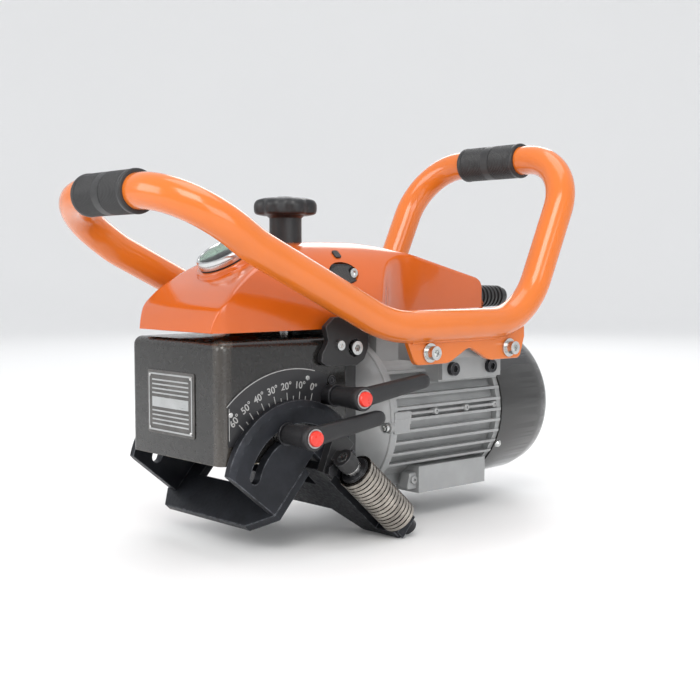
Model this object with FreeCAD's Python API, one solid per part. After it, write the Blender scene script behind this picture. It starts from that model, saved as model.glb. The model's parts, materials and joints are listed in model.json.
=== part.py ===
import FreeCAD
import Part
import math
import os

from FreeCAD import Vector

# Hand-held plate bevelling machine with a tilting V guide.
# Working axes: x = 0 is the symmetry plane, y = 0 the head's front face, z = 0 the motor axis.
# Every solid is moved to the row frame (bottom centre of the whole machine) when it is written.

# ---- head guard, carriage and vertical slide ----
head_width = 139.0
head_length = 137.5
head_top = 81.6
head_bottom = -22.4
guard_sheet = 3.0
guard_corner_r = 8.0
slide_travel = 5.0
slide_clearance = 0.05
carriage_length = 25.5
carriage_bore_r = 46.0
slide_plate_thickness = 12.5
rail_half_pitch = 52.0
rail_width = 9.0
rail_height = 7.0

# ---- fastener and fit allowances ----
running_clearance = 0.05
press_gap = 0.02
loose_gap = 0.3

# ---- tilting guide ----
pivot_y = 76.0
pivot_z = -47.0
bevel_angle = 48.0
scale_thickness = 0.8
sector_side_gap = 0.4
sector_thickness = 9.0
sector_rim_r = 76.0
sector_bevel = 5.6
slot_mid_r = 50.4
slot_width = 10.6
slot_from = -74.0
slot_to = 27.0
key_half_angle = 8.0
shoe_thickness = 8.0
shoe_drop = 0.9
shoe_front = 50.5
shoe_chamfer_start = 34.0
shoe_right_chamfer = 28.0
shoe_left_chamfer = 12.0
shoe_left_overhang = 6.0
shoe_back = 16.0
guide_offset = 23.5
guide_thickness = 8.5
guide_short = 80.0
guide_long = 109.0
toe_half_width = 104.0
guide_window_half = 52.0

# ---- guide roller ----
roller_x = 100.0
roller_r = 16.8
roller_core_r = 15.2
roller_from = 26.0
roller_to = 98.0
roller_bore_r = 5.0
roller_rings = 16
roller_proud = 0.8

# ---- cutter ----
cutter_r = 37.0
cutter_front_y = 64.0
cutter_width = 36.0
cutter_rows = 5

# ---- motor ----
shield_length = 40.0
frame_length = 154.0
fan_cover_length = 93.0
motor_r = 78.0
frame_body_r = 69.0
frame_bore_r = 60.0
fin_thickness = 2.6
fin_pitch = 11.0
stator_length = 100.0
stator_bore_r = 37.0
air_gap = 0.5
shaft_r = 12.5
arbor_r = 10.0
bearing_r = 26.0
bearing_width = 15.0
fan_r = 62.0
fan_cover_wall = 2.0

# ---- top cover ----
cover_half_width = 63.5
cover_bottom_gap = 6.6
cover_top = 167.5
cover_wall = 3.0
tail_end_y = 364.0
tail_half_width = 31.0

# ---- depth knob and gauge ----
knob_y = 125.0
knob_r = 29.5
knob_height = 16.8
knob_bottom = 191.0
knob_column_r = 15.0
screw_r = 6.0
screw_pitch = 4.0
gauge_y = 57.0
gauge_z = 150.0
gauge_tilt = 31.0
gauge_r = 25.0
gauge_height = 9.0

# ---- handle loop ----
tube_r = 15.0
tube_wall = 2.0
handle_half_width = 108.0
front_bar_y = -57.0
front_bar_z = 204.0
rear_bar_y = 418.0
rear_bar_z = 257.0
lower_run_z = 89.6
grip_r = 18.5
grip_half_length = 39.0
bracket_thickness = 6.0
bracket_bolt_y = 258.2
bracket_bolt_pitch = 110.0
bracket_bolt_z = 65.5
bracket_washer_r = 9.0
bracket_low_z = 54.5

# ---- clamping levers ----
lever_hub_length = 36.0
lever_hub_r = 10.6
lever_length = 80.0
lever_stud_r = 5.0
lower_lever_y = 61.0
lower_lever_z = 1.2
upper_lever_y = 116.5
upper_lever_z = 30.0
lever_rise = 8.5
lever_tip_r = 6.6
button_r = 6.6
button_travel = 2.5

# ---- derived places ----
guard_half = head_width / 2
guard_inner = guard_half - guard_sheet
sector_inner_x = guard_half + scale_thickness + sector_side_gap
carriage_front_y = head_length - carriage_length
guard_screw_spots = [(carriage_front_y + 9.0, 43.0), (carriage_front_y + 9.0, 12.0)]
plate_front_y = head_length
plate_rear_y = plate_front_y + slide_plate_thickness
frame_front_y = plate_rear_y + shield_length
frame_rear_y = frame_front_y + frame_length
motor_end_y = frame_rear_y + fan_cover_length
cover_bottom = head_top + cover_bottom_gap
bridge_bottom = head_top + slide_travel + 1.4
bridge_top = bridge_bottom + 10.0
sector_outer_x = sector_inner_x + sector_thickness
slot_r_in = slot_mid_r - slot_width / 2
slot_r_out = slot_mid_r + slot_width / 2
sin_bevel = math.sin(math.radians(bevel_angle))
cos_bevel = math.cos(math.radians(bevel_angle))
roller_axis_offset = guide_offset + roller_r - roller_proud
row_y = (front_bar_y - grip_r + max(rear_bar_y + grip_r, motor_end_y)) / 2


def guide_point(x, along, above):
    """A point of the rear guide: along runs down to the back from the pivot, above is out of the work."""
    y = pivot_y + along * sin_bevel + above * cos_bevel
    z = pivot_z - along * cos_bevel + above * sin_bevel
    return Vector(x, y, z)


def shoe_point(x, along, above):
    """A point of the front shoe: along runs up to the back through the pivot, above is out of the work."""
    y = pivot_y + along * cos_bevel - above * sin_bevel
    z = pivot_z + along * sin_bevel + above * cos_bevel
    return Vector(x, y, z)


row_z = guide_point(0, guide_long, guide_offset).z
row_shift = Vector(0, -row_y, -row_z)
parts = {}


def add(name, *solids):
    """Adds solids to a node; calling it again with the same name adds more solids to that node."""
    parts.setdefault(name, []).extend(solids)


def box(x0, x1, y0, y1, z0, z1):
    return Part.makeBox(x1 - x0, y1 - y0, z1 - z0, Vector(x0, y0, z0))


def cylinder(start, direction, radius, length):
    return Part.makeCylinder(radius, length, start, direction)


def ring(start, direction, outer, inner, length):
    return cylinder(start, direction, outer, length).cut(cylinder(start, direction, inner, length))


def cone(start, direction, r1, r2, length):
    return Part.makeCone(r1, r2, length, start, direction)


def polygon(points):
    return Part.Face(Part.makePolygon(points + [points[0]]))


def side_plate(outline, x0, x1):
    """A plate whose (y, z) outline is carried along x."""
    face = polygon([Vector(x0, y, z) for y, z in outline])
    return face.extrude(Vector(x1 - x0, 0, 0))


def turned(outline):
    """A solid of revolution about the motor axis from (y, radius) points."""
    face = polygon([Vector(0, y, r) for y, r in outline])
    return face.revolve(Vector(0, 0, 0), Vector(0, 1, 0), 360)


def mirrored(shape):
    return shape.mirror(Vector(0, 0, 0), Vector(1, 0, 0))


def rounded_block(x0, x1, y0, y1, z0, z1, radius, direction):
    """A block whose four edges along one direction are rounded."""
    block = box(x0, x1, y0, y1, z0, z1)
    edges = []
    for edge in block.Edges:
        along = edge.Vertexes[1].Point.sub(edge.Vertexes[0].Point).normalize()
        if abs(along.dot(direction)) > 0.99:
            edges.append(edge)
    return block.makeFillet(radius, edges)


def round_along_x(shape, radius, x0, x1):
    """Rounds every edge that runs along x over the whole thickness x0 to x1."""
    edges = []
    for edge in shape.Edges:
        a = edge.Vertexes[0].Point
        b = edge.Vertexes[-1].Point
        if abs(abs(a.x - b.x) - abs(x1 - x0)) < 1e-6 and abs(a.y - b.y) + abs(a.z - b.z) < 1e-6:
            edges.append(edge)
    return shape.makeFillet(radius, edges)


def socket_screw(seat, direction, shank_r, shank_length, head_r, head_height):
    """A socket-head screw: direction points out of the head, seat is the face under the head."""
    head = cylinder(seat, direction, head_r, head_height)
    shank = cylinder(seat, direction.negative(), shank_r, shank_length)
    socket_depth = head_height * 0.55
    socket_start = seat + direction * (head_height - socket_depth)
    reference = Vector(0, 0, 1) if abs(direction.z) < 0.9 else Vector(1, 0, 0)
    u = direction.cross(reference).normalize()
    v = direction.cross(u)
    corners = []
    for k in range(6):
        a = math.radians(60 * k)
        spoke = u * math.cos(a) + v * math.sin(a)
        corners.append(socket_start + spoke * (head_r * 0.55))
    socket = polygon(corners).extrude(direction * socket_depth)
    return head.fuse(shank).cut(socket).removeSplitter()


def polar(radius, degrees):
    """A (y, z) point about the tilt pivot: 0 degrees is straight up and angles grow towards the back."""
    a = math.radians(degrees)
    return pivot_y + radius * math.sin(a), pivot_z + radius * math.cos(a)


def arc_band(x0, x1, r_in, r_out, start, end, cap_round):
    """A curved bar about the tilt pivot between two angles, with rounded ends when asked."""
    mid = (start + end) / 2

    def at(radius, degrees):
        y, z = polar(radius, degrees)
        return Vector(x0, y, z)

    outer = Part.Arc(at(r_out, start), at(r_out, mid), at(r_out, end)).toShape()
    inner = Part.Arc(at(r_in, end), at(r_in, mid), at(r_in, start)).toShape()
    if cap_round:
        r_mid = (r_in + r_out) / 2
        bulge = math.degrees((r_out - r_in) / 2 / r_mid)
        cap_end = Part.Arc(at(r_out, end), at(r_mid, end + bulge), at(r_in, end)).toShape()
        cap_start = Part.Arc(at(r_in, start), at(r_mid, start - bulge), at(r_out, start)).toShape()
    else:
        cap_end = Part.LineSegment(at(r_out, end), at(r_in, end)).toShape()
        cap_start = Part.LineSegment(at(r_in, start), at(r_out, start)).toShape()
    face = Part.Face(Part.Wire([outer, cap_end, inner, cap_start]))
    return face.extrude(Vector(x1 - x0, 0, 0))


X = Vector(1, 0, 0)
Y = Vector(0, 1, 0)
Z = Vector(0, 0, 1)


# ---------------------------------------------------------------- head

def make_head():
    inner_top = head_top - guard_sheet
    outer = box(-guard_half, guard_half, 0, head_length, head_bottom, head_top)
    edges = []
    for edge in outer.Edges:
        c = edge.CenterOfMass
        front_upright = abs(c.y) < 1e-6 and abs(c.z - (head_top + head_bottom) / 2) < 1e-6
        top_edge = abs(c.z - head_top) < 1e-6 and c.y < head_length - 1
        if front_upright or top_edge:
            edges.append(edge)
    outer = outer.makeFillet(guard_corner_r, edges)
    inner = box(-guard_inner, guard_inner, guard_sheet, head_length + 1, head_bottom - 1, inner_top)
    guard = outer.cut(inner)
    screw_hole = cylinder(Vector(0, knob_y, inner_top - 1), Z, screw_r + 3, guard_sheet + 2)
    guard = guard.cut(screw_hole)
    stud_holes = [(lower_lever_y, lower_lever_z), (upper_lever_y, upper_lever_z)]
    for y, z in stud_holes:
        stud_hole = cylinder(Vector(-guard_half - 1, y, z), X, lever_stud_r + press_gap, head_width + 2)
        guard = guard.cut(stud_hole)
    for y, z in guard_screw_spots:
        guard = guard.cut(cylinder(Vector(-guard_half - 1, y, z), X, 2.5, head_width + 2))
    add("head_guard", guard)

    carriage = box(-guard_inner, guard_inner, carriage_front_y, head_length, head_bottom, inner_top)
    bore = cylinder(Vector(0, carriage_front_y - 1, 0), Y, carriage_bore_r, carriage_length + 2)
    carriage = carriage.cut(bore)
    below = box(-carriage_bore_r, carriage_bore_r, carriage_front_y - 1, head_length + 1, head_bottom - 1, 0)
    carriage = carriage.cut(below)
    groove_width = rail_width + 2 * slide_clearance
    for side in (-1, 1):
        x0 = side * rail_half_pitch - groove_width / 2
        groove_front = head_length - rail_height - slide_clearance
        groove = box(x0, x0 + groove_width, groove_front, head_length + 1, head_bottom - 1, inner_top + 1)
        carriage = carriage.cut(groove)
    nut_r = 11.0
    nut_length = 22.0
    nut_at = Vector(0, knob_y, inner_top - nut_length)
    carriage = carriage.cut(cylinder(nut_at, Z, nut_r + press_gap, nut_length + 1))
    screw_well = cylinder(Vector(0, knob_y, carriage_bore_r - 12), Z, screw_r + 1.0, inner_top)
    carriage = carriage.cut(screw_well)
    for y, z in guard_screw_spots:
        carriage = carriage.cut(cylinder(Vector(-guard_half, y, z), X, 2.5, 16))
        carriage = carriage.cut(cylinder(Vector(guard_half - 16, y, z), X, 2.5, 16))
    for side in (-1, 1):
        start = Vector(side * (guard_inner - 8), upper_lever_y, upper_lever_z)
        carriage = carriage.cut(cylinder(start, X * side, lever_stud_r + press_gap, 12))
    add("slide_carriage", carriage)
    add("depth_nut", ring(nut_at, Z, nut_r, screw_r + running_clearance, nut_length))

    screws = []
    for side in (-1, 1):
        for y, z in guard_screw_spots:
            seat = Vector(side * guard_half, y, z)
            screws.append(socket_screw(seat, X * side, 2.45, 14.0, 4.2, 0.9))
    add("guard_screws", *screws)

    badge = rounded_block(-40.0, 32.5, -1.6, 0, -3.0, 53.0, 3.0, Y)
    add("maker_plate", badge)
    pins = []
    for x in (-35.5, 28.0):
        for z in (1.5, 48.5):
            pins.append(cone(Vector(x, -1.6, z), Y.negative(), 1.7, 1.0, 0.8))
    add("plate_rivets", *pins)


def make_scale():
    plate_x0 = guard_half
    plate_x1 = guard_half + scale_thickness
    r_in = 55.0
    r_out = 103.6
    arc = arc_band(plate_x0, plate_x1, r_in, r_out, -66.0, 24.0, False)
    left_limit = 7.0
    clip = box(plate_x0 - 1, plate_x1 + 1, left_limit, head_length - 16.0, -6.0, 60.0)
    plate = arc.common(clip)
    holes = []
    rivets = []
    for radius, angle in ((95.0, -44.5), (95.0, 10.0)):
        y, z = polar(radius, angle)
        holes.append(cylinder(Vector(plate_x0 - 1, y, z), X, 1.2 + press_gap, 4))
        head = cylinder(Vector(plate_x1, y, z), X, 2.2, 0.5)
        rivets.append(head.fuse(cylinder(Vector(plate_x0, y, z), X, 1.2, 0.8)).removeSplitter())
    for hole in holes:
        plate = plate.cut(hole)
    for y, z in ((lower_lever_y, lower_lever_z), (upper_lever_y, upper_lever_z)):
        plate = plate.cut(cylinder(Vector(plate_x0 - 1, y, z), X, lever_stud_r + press_gap, 4))
    for y, z in guard_screw_spots:
        plate = plate.cut(cylinder(Vector(plate_x0 - 1, y, z), X, 5.5, 4))
    add("angle_scale", plate)
    add("plate_rivets", *rivets)


# ---------------------------------------------------------------- tilting guide

def make_sector(side):
    x0 = sector_inner_x
    x1 = sector_outer_x
    disc = cylinder(Vector(x0, pivot_y, pivot_z), X, sector_rim_r, sector_thickness - sector_bevel / 2)
    crown_x = x0 + sector_thickness - sector_bevel / 2
    crown_r = sector_rim_r - sector_bevel
    crown = cone(Vector(crown_x, pivot_y, pivot_z), X, sector_rim_r, crown_r, sector_bevel / 2)
    body = disc.fuse(crown)
    far = 200.0
    front_high = (0.6, -28.8)
    front_low = shoe_point(0, -34.0, shoe_thickness - shoe_drop)
    top = shoe_point(0, shoe_back, shoe_thickness - shoe_drop)
    rear = guide_point(0, shoe_drop - shoe_thickness, guide_offset + guide_thickness)
    rear_far = guide_point(0, far, guide_offset + guide_thickness)
    keep = [
        front_high,
        (front_low.y, front_low.z),
        (top.y, top.z),
        (rear.y, rear.z),
        (rear_far.y, rear_far.z),
        (pivot_y + far, pivot_z + far),
        (pivot_y - far, pivot_z + far),
        (pivot_y - far, front_high[1]),
    ]
    body = body.common(side_plate(keep, x0 - 1, x1 + 1))
    trim = [(pivot_y + 52.0, -300), (pivot_y + 300, -300), (pivot_y + 300, 300), (pivot_y + 64.0, 300)]
    body = body.cut(side_plate(trim, x0 - 1, x1 + 1))
    slot = arc_band(x0 - 1, x1 + 1, slot_r_in, slot_r_out, slot_from, slot_to, True)
    body = body.cut(slot).removeSplitter()
    if side < 0:
        body = mirrored(body)
    add("tilt_sectors", body)


def key_angles():
    """The start and end of a sector key, centred on the lower clamp stud."""
    angle = math.degrees(math.atan2(lower_lever_y - pivot_y, lower_lever_z - pivot_z))
    return angle - key_half_angle, angle + key_half_angle


def make_guide():
    make_sector(1)
    make_sector(-1)
    low = -shoe_drop
    high = shoe_thickness - shoe_drop
    half = sector_outer_x
    left = half + shoe_left_overhang
    outline = [
        (-left, shoe_back), (half, shoe_back), (half, -shoe_chamfer_start),
        (half - shoe_right_chamfer, -shoe_front), (-left + shoe_left_chamfer, -shoe_front),
        (-left, -shoe_chamfer_start),
    ]
    shoe = polygon([shoe_point(x, s, low) for x, s in outline])
    up = shoe_point(0, 0, 1) - shoe_point(0, 0, 0)
    shoe = shoe.extrude(up * (high - low))
    window_outline = [
        (-guide_window_half, shoe_back + 1), (guide_window_half, shoe_back + 1),
        (guide_window_half, -12.0), (-guide_window_half, -12.0),
    ]
    window = polygon([shoe_point(x, s, low - 1) for x, s in window_outline]).extrude(up * (high - low + 2))
    shoe = shoe.cut(window)
    add("front_shoe", shoe)

    out = guide_point(0, 0, 1) - guide_point(0, 0, 0)
    top_s = shoe_thickness - shoe_drop + 0.1
    toe_s = roller_to + 1.5
    outline = [
        (-half, top_s), (half, top_s), (half, toe_s), (toe_half_width, toe_s), (toe_half_width, guide_long),
        (half - 24.0, guide_long), (half - 45.0, guide_short), (-half, guide_short),
    ]
    rear = polygon([guide_point(x, s, guide_offset) for x, s in outline]).extrude(out * guide_thickness)
    ear_outline = [(toe_s, guide_offset + 1), (guide_long, guide_offset + 1),
                   (guide_long, roller_axis_offset + 8.0), (toe_s, roller_axis_offset + 8.0)]
    ear = polygon([guide_point(roller_x - 8.0, s, a) for s, a in ear_outline]).extrude(Vector(16.0, 0, 0))
    rear = rear.fuse(ear)
    down = guide_point(0, 1, 0) - guide_point(0, 0, 0)
    shaft_way_start = guide_point(roller_x, toe_s - 1, roller_axis_offset)
    rear = rear.cut(cylinder(shaft_way_start, down, roller_bore_r + press_gap, 20.0))
    window_outline = [
        (-guide_window_half, top_s - 1), (guide_window_half, top_s - 1),
        (guide_window_half, 36.0), (-guide_window_half, 36.0),
    ]
    window = polygon([guide_point(x, s, guide_offset - 1) for x, s in window_outline])
    rear = rear.cut(window.extrude(out * (guide_thickness + 2))).removeSplitter()
    add("rear_guide", rear)

    # curved keys that carry the sectors on the head, one each side
    start, end = key_angles()
    key_gap = 0.06
    for side in (1, -1):
        key_x0 = guard_half + 0.9
        key_r_in = slot_r_in + key_gap
        key_r_out = slot_r_out - key_gap
        key = arc_band(key_x0, sector_outer_x - 0.6, key_r_in, key_r_out, start, end, False)
        stud_start = Vector(key_x0 - 1, lower_lever_y, lower_lever_z)
        key = key.cut(cylinder(stud_start, X, lever_stud_r + press_gap, 20))
        if side < 0:
            key = mirrored(key)
        add("sector_keys", key)


def make_roller():
    down = guide_point(0, 1, 0) - guide_point(0, 0, 0)
    axis0 = guide_point(roller_x, roller_from, roller_axis_offset)
    length = roller_to - roller_from
    core = cylinder(axis0, down, roller_core_r, length)
    pitch = length / roller_rings
    solid = core
    for k in range(roller_rings):
        start = axis0 + down * (pitch * k + pitch * 0.12)
        solid = solid.fuse(cylinder(start, down, roller_r, pitch * 0.76))
    bore = cylinder(axis0 - down, down, roller_bore_r + running_clearance, length + 2)
    add("guide_roller", solid.cut(bore).removeSplitter())

    shaft_start = guide_point(roller_x, roller_from - 20.0, roller_axis_offset)
    shaft = cylinder(shaft_start, down, roller_bore_r, guide_long + 6.0 - roller_from + 20.0)
    collar = cylinder(guide_point(roller_x, roller_from - 6.0, roller_axis_offset), down, 8.0, 4.0)
    add("roller_shaft", shaft.fuse(collar).removeSplitter())
    washers = []
    for k in range(2):
        at = guide_point(roller_x, roller_from - 1.7 + 0.85 * k, roller_axis_offset)
        washers.append(ring(at, down, 12.5 + k, roller_bore_r + press_gap, 0.8))
    add("roller_washers", *washers)
    cap_start = guide_point(roller_x, guide_long, roller_axis_offset)
    cap = cylinder(cap_start, down, 8.0, 7.0).cut(cylinder(cap_start, down, roller_bore_r + press_gap, 6.1))
    add("roller_washers", cap)

    # upper arm: from the scale side sector's outer face out to the shaft
    arm_x0 = sector_outer_x
    arm_s = roller_from - 20.0
    arm_outline = [(arm_s, 22.0), (arm_s + 13.0, 22.0), (arm_s + 13.0, 62.0), (arm_s - 14.0, 62.0)]
    arm = polygon([guide_point(arm_x0, s, a) for s, a in arm_outline]).extrude(Vector(8.0, 0, 0))
    boss_start = guide_point(roller_x, arm_s, roller_axis_offset)
    boss = cylinder(boss_start, down, 9.0, 12.0)
    web_outline = [(arm_s, 36.0), (arm_s + 12.0, 36.0), (arm_s + 12.0, 46.0), (arm_s, 46.0)]
    web = polygon([guide_point(arm_x0 + 2, s, a) for s, a in web_outline])
    web = web.extrude(Vector(roller_x - arm_x0 - 2, 0, 0))
    arm = arm.fuse(boss).fuse(web)
    arm = arm.cut(cylinder(boss_start - down, down, roller_bore_r + press_gap, 16.0))
    bolt_at = guide_point(arm_x0 + 8.0, arm_s + 5.2, guide_offset + guide_thickness / 2)
    bolt_way = cylinder(bolt_at - X * 18, X, 2.95, 19)
    arm = arm.cut(bolt_way)
    parts["rear_guide"][0] = parts["rear_guide"][0].cut(bolt_way)
    set_at = boss_start + down * 6.0
    out = guide_point(0, 0, 1) - guide_point(0, 0, 0)
    arm = arm.cut(cylinder(set_at + out * 5.2, out, 2.05, 8))
    add("roller_arm", arm.removeSplitter())
    add("roller_arm_screws", hex_bolt(bolt_at, X, 10.0, 5.0, 2.9, 17.0))
    add("roller_arm_screws", cylinder(set_at + out * 5.2, out, 2.0, 6.5))


def hex_bolt(seat, direction, across, height, shank_r, shank_length):
    u = direction.cross(Vector(0, 0.6, 0.8)).normalize()
    v = direction.cross(u)
    r = across / math.sqrt(3)
    corners = []
    for k in range(6):
        a = math.radians(60 * k)
        corners.append(seat + u * (r * math.cos(a)) + v * (r * math.sin(a)))
    head = polygon(corners).extrude(direction * height)
    return head.fuse(cylinder(seat, direction.negative(), shank_r, shank_length)).removeSplitter()


# ---------------------------------------------------------------- drive

def make_motor():
    half = guard_half + 0.35
    plate_bottom = -40.0
    plate = box(-half, half, plate_front_y, plate_rear_y, plate_bottom, bridge_top)
    for side in (-1, 1):
        x0 = side * rail_half_pitch - rail_width / 2
        rail_y = plate_front_y - rail_height
        rail = box(x0, x0 + rail_width, rail_y, plate_front_y, head_bottom, head_top - 9.0)
        plate = plate.fuse(rail)
    bridge = box(-24.0, 24.0, carriage_front_y, plate_front_y, bridge_bottom, bridge_top)
    plate = plate.fuse(bridge)
    plate = plate.cut(cylinder(Vector(0, plate_front_y - 20, 0), Y, 30.0, 60))
    plate = plate.cut(cylinder(Vector(0, knob_y, bridge_bottom - 1), Z, 9.0 + press_gap, 20))
    bolt_y = (plate_front_y + plate_rear_y) / 2
    for side in (-1, 1):
        plate = plate.cut(cylinder(Vector(side * (half - 15), bolt_y, 71.0), X * side, 4.0, 16))
    add("slide_plate", plate.removeSplitter())
    add("screw_bush", ring(Vector(0, knob_y, bridge_bottom), Z, 9.0, screw_r + running_clearance, 10.0))

    # drive end shield: a dome with the front bearing seat
    y0 = plate_rear_y
    y1 = frame_front_y
    wall = 5.0
    outline = [
        (y0, 14.0), (y0, 50.0), (y0 + 10, 56.0), (y0 + 18, 62.0), (y0 + 26, 70.0), (y0 + 33, 76.0),
        (y0 + 37, motor_r), (y1, motor_r), (y1, frame_bore_r), (y1 - 10, frame_bore_r),
        (y0 + 18, 50.0), (y0 + 5, 42.0),
        (y0 + 5, 32.0), (y0 + 17, 32.0), (y0 + 17, bearing_r + press_gap), (y0 + 2, bearing_r + press_gap),
        (y0 + 2, 14.0),
    ]
    shield = turned(outline)
    boss_angles = (-4.0, 94.0, 184.0, 274.0)
    boss_r = 76.0
    bolt_holes = []
    for angle in boss_angles:
        a = math.radians(angle)
        x = boss_r * math.cos(a)
        z = boss_r * math.sin(a)
        shield = shield.fuse(cylinder(Vector(x, y1 - 5.5, z), Y, 5.5, 5.5))
        bolt_holes.append((x, z))
    for x, z in bolt_holes:
        shield = shield.cut(cylinder(Vector(x, y1 - 7, z), Y, 2.5, 8))
        shield = shield.cut(cylinder(Vector(x, y1 - 13.5, z), Y, 4.6, 8))
    add("drive_end_shield", shield.removeSplitter())
    bolts = []
    for x, z in bolt_holes:
        bolts.append(socket_screw(Vector(x, y1 - 5.5, z), Y.negative(), 2.45, 16.0, 4.0, 4.2))
    add("casing_screws", *bolts)

    # finned frame
    ring_length = 6.0
    body = ring(Vector(0, frame_front_y, 0), Y, frame_body_r, frame_bore_r, frame_length)
    body = body.fuse(ring(Vector(0, frame_front_y, 0), Y, motor_r, frame_bore_r, ring_length))
    rear_ring_at = Vector(0, frame_rear_y - ring_length, 0)
    body = body.fuse(ring(rear_ring_at, Y, motor_r - 2.2, frame_bore_r, ring_length))
    envelope = ring(Vector(0, frame_front_y + 2, 0), Y, motor_r, frame_body_r - 2, frame_length - 4)
    blades = None
    fin_ends = (frame_front_y + 2, frame_rear_y - 1)
    for k in range(-4, 5):
        z = k * fin_pitch
        blade = box(-motor_r, motor_r, fin_ends[0], fin_ends[1], z - fin_thickness / 2, z + fin_thickness / 2)
        blades = blade if blades is None else blades.fuse(blade)
    for k in range(-3, 4):
        x = k * fin_pitch
        blade = box(x - fin_thickness / 2, x + fin_thickness / 2, fin_ends[0], fin_ends[1], -motor_r, motor_r)
        blades = blades.fuse(blade)
    body = body.fuse(blades.common(envelope))
    for side in (-1, 1):
        pad = box(48.0, motor_r + 4, 246.0, 330.0, 34.0, 58.0)
        recess = box(motor_r + 1.2, motor_r + 5, 249.0, 327.0, 37.0, 55.0)
        pad = pad.cut(recess)
        foot = box(30.0, 62.0, 240.0, 336.0, -76.0, -50.0)
        bolt_boss = box(motor_r - 12, motor_r + 1.5, frame_front_y, frame_front_y + 20, -11.5, 1.0)
        extra = pad.fuse(foot).fuse(bolt_boss)
        if side < 0:
            extra = mirrored(extra)
        body = body.fuse(extra)
    top_seat = box(-44.0, 44.0, 200.0, 300.0, 52.0, 80.0)
    body = body.fuse(top_seat)
    body = body.cut(cylinder(Vector(0, frame_front_y - 1, 0), Y, frame_bore_r, frame_length + 2))
    for x, z in bolt_holes:
        body = body.cut(cylinder(Vector(x, y1 - 1, z), Y, 2.5, 14))
    for side in (-1, 1):
        for y in (259.0, 313.0):
            body = body.cut(cylinder(Vector(side * 60, y, 46.0), X * side, 4.0, 30))
    add("motor_frame", body.removeSplitter())

    add("terminal_box", make_terminal_box())
    add("terminal_box", rounded_block(-46.0, 46.0, 198.0, 302.0, 96.0, 99.0, 6.0, Z))
    lid_screws = []
    for x in (-40.0, 40.0):
        for y in (204.0, 296.0):
            lid_screws.append(cylinder(Vector(x, y, 99.0), Z, 3.4, 1.8))
    add("casing_screws", *lid_screws)

    mid_y = (frame_front_y + frame_rear_y) / 2
    core_y0 = mid_y - stator_length / 2
    add("stator_core", ring(Vector(0, core_y0, 0), Y, frame_bore_r - press_gap, stator_bore_r, stator_length))
    coil = []
    coil.append(ring(Vector(0, core_y0 - 16, 0), Y, 56.0, 40.0, 16.0))
    coil.append(ring(Vector(0, core_y0 + stator_length, 0), Y, 56.0, 40.0, 16.0))
    add("windings", *coil)
    rotor = ring(Vector(0, core_y0, 0), Y, stator_bore_r - air_gap, shaft_r + press_gap, stator_length)
    add("rotor_core", rotor)

    rear_spigot_y = frame_rear_y + 10.0
    yr = frame_rear_y
    seat_r = bearing_r + press_gap
    spigot_r = motor_r - fan_cover_wall - press_gap
    outline = [
        (yr - 12, seat_r), (yr - 12, 34.0), (yr - 6, 34.0), (yr - 6, frame_bore_r - press_gap),
        (yr, frame_bore_r - press_gap), (yr, spigot_r), (rear_spigot_y, spigot_r), (rear_spigot_y, 66.0),
        (yr + 4, 62.0), (yr + 5, 16.0), (yr + 3, 16.0), (yr + 3, seat_r),
    ]
    add("rear_end_shield", turned(outline))
    for bearing_y in (y0 + 2, yr - 12):
        bearing_at = Vector(0, bearing_y, 0)
        add("shaft_bearings", ring(bearing_at, Y, bearing_r, shaft_r + running_clearance, bearing_width))

    fan_y = frame_rear_y + 22.0
    cutter_rear_y = cutter_front_y + cutter_width
    shaft = cylinder(Vector(0, cutter_rear_y, 0), Y, shaft_r, fan_y + 24 - cutter_rear_y)
    arbor_front_y = cutter_front_y + 1.6
    shaft = shaft.fuse(cylinder(Vector(0, arbor_front_y, 0), Y, arbor_r, cutter_rear_y + 1 - arbor_front_y))
    shaft = shaft.cut(cylinder(Vector(0, cutter_front_y - 1, 0), Y, 4.0, 21.0))
    add("motor_shaft", shaft.removeSplitter())
    hub = ring(Vector(0, fan_y, 0), Y, 22.0, shaft_r + press_gap, 24.0)
    fan = hub.fuse(ring(Vector(0, fan_y, 0), Y, fan_r, shaft_r + press_gap, 3.0))
    for k in range(9):
        blade = box(20.0, fan_r, fan_y, fan_y + 24.0, -1.5, 1.5)
        blade.rotate(Vector(0, 0, 0), Y, 40 * k)
        fan = fan.fuse(blade)
    add("cooling_fan", fan.removeSplitter())

    # fan cover: drum with a rounded rear end and a ring of air slots
    w = fan_cover_wall
    y_end = motor_end_y
    y_rim = frame_rear_y
    y_straight = rear_spigot_y + 2.0
    outer = [
        (y_rim, motor_r), (y_straight, motor_r), (y_end - 30, motor_r - 1.5), (y_end - 17, motor_r - 4.5),
        (y_end - 7, motor_r - 12), (y_end - 1.5, motor_r - 24), (y_end, motor_r - 36), (y_end, 0),
    ]
    inner = [
        (y_end - w, 0), (y_end - w, motor_r - 37), (y_end - 3.2, motor_r - 25), (y_end - 8.5, motor_r - 14),
        (y_end - 18, motor_r - 6.7), (y_end - 31, motor_r - 3.5), (y_straight, motor_r - w),
        (y_rim, motor_r - w),
    ]
    hood = turned(outer + inner)
    for radius, count in ((20.0, 8), (34.0, 14), (48.0, 20)):
        for k in range(count):
            slot = cylinder(Vector(radius, y_end - 12, 0), Y, 3.6, 20)
            slot.rotate(Vector(0, 0, 0), Y, 360.0 * k / count)
            hood = hood.cut(slot)
    screw_angles = (-29.0, 209.0, 61.0, 119.0)
    screws = []
    for angle in screw_angles:
        a = math.radians(angle)
        out = Vector(math.cos(a), 0, math.sin(a))
        base = Vector(0, y_rim + 5, 0)
        hood = hood.cut(cylinder(base + out * 70, out, 2.2, 12))
        shield_hole = cylinder(base + out * 66, out, 2.2, 12)
        parts["rear_end_shield"][0] = parts["rear_end_shield"][0].cut(shield_hole)
        head = cone(base + out * motor_r, out, 4.2, 2.6, 2.0)
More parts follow.
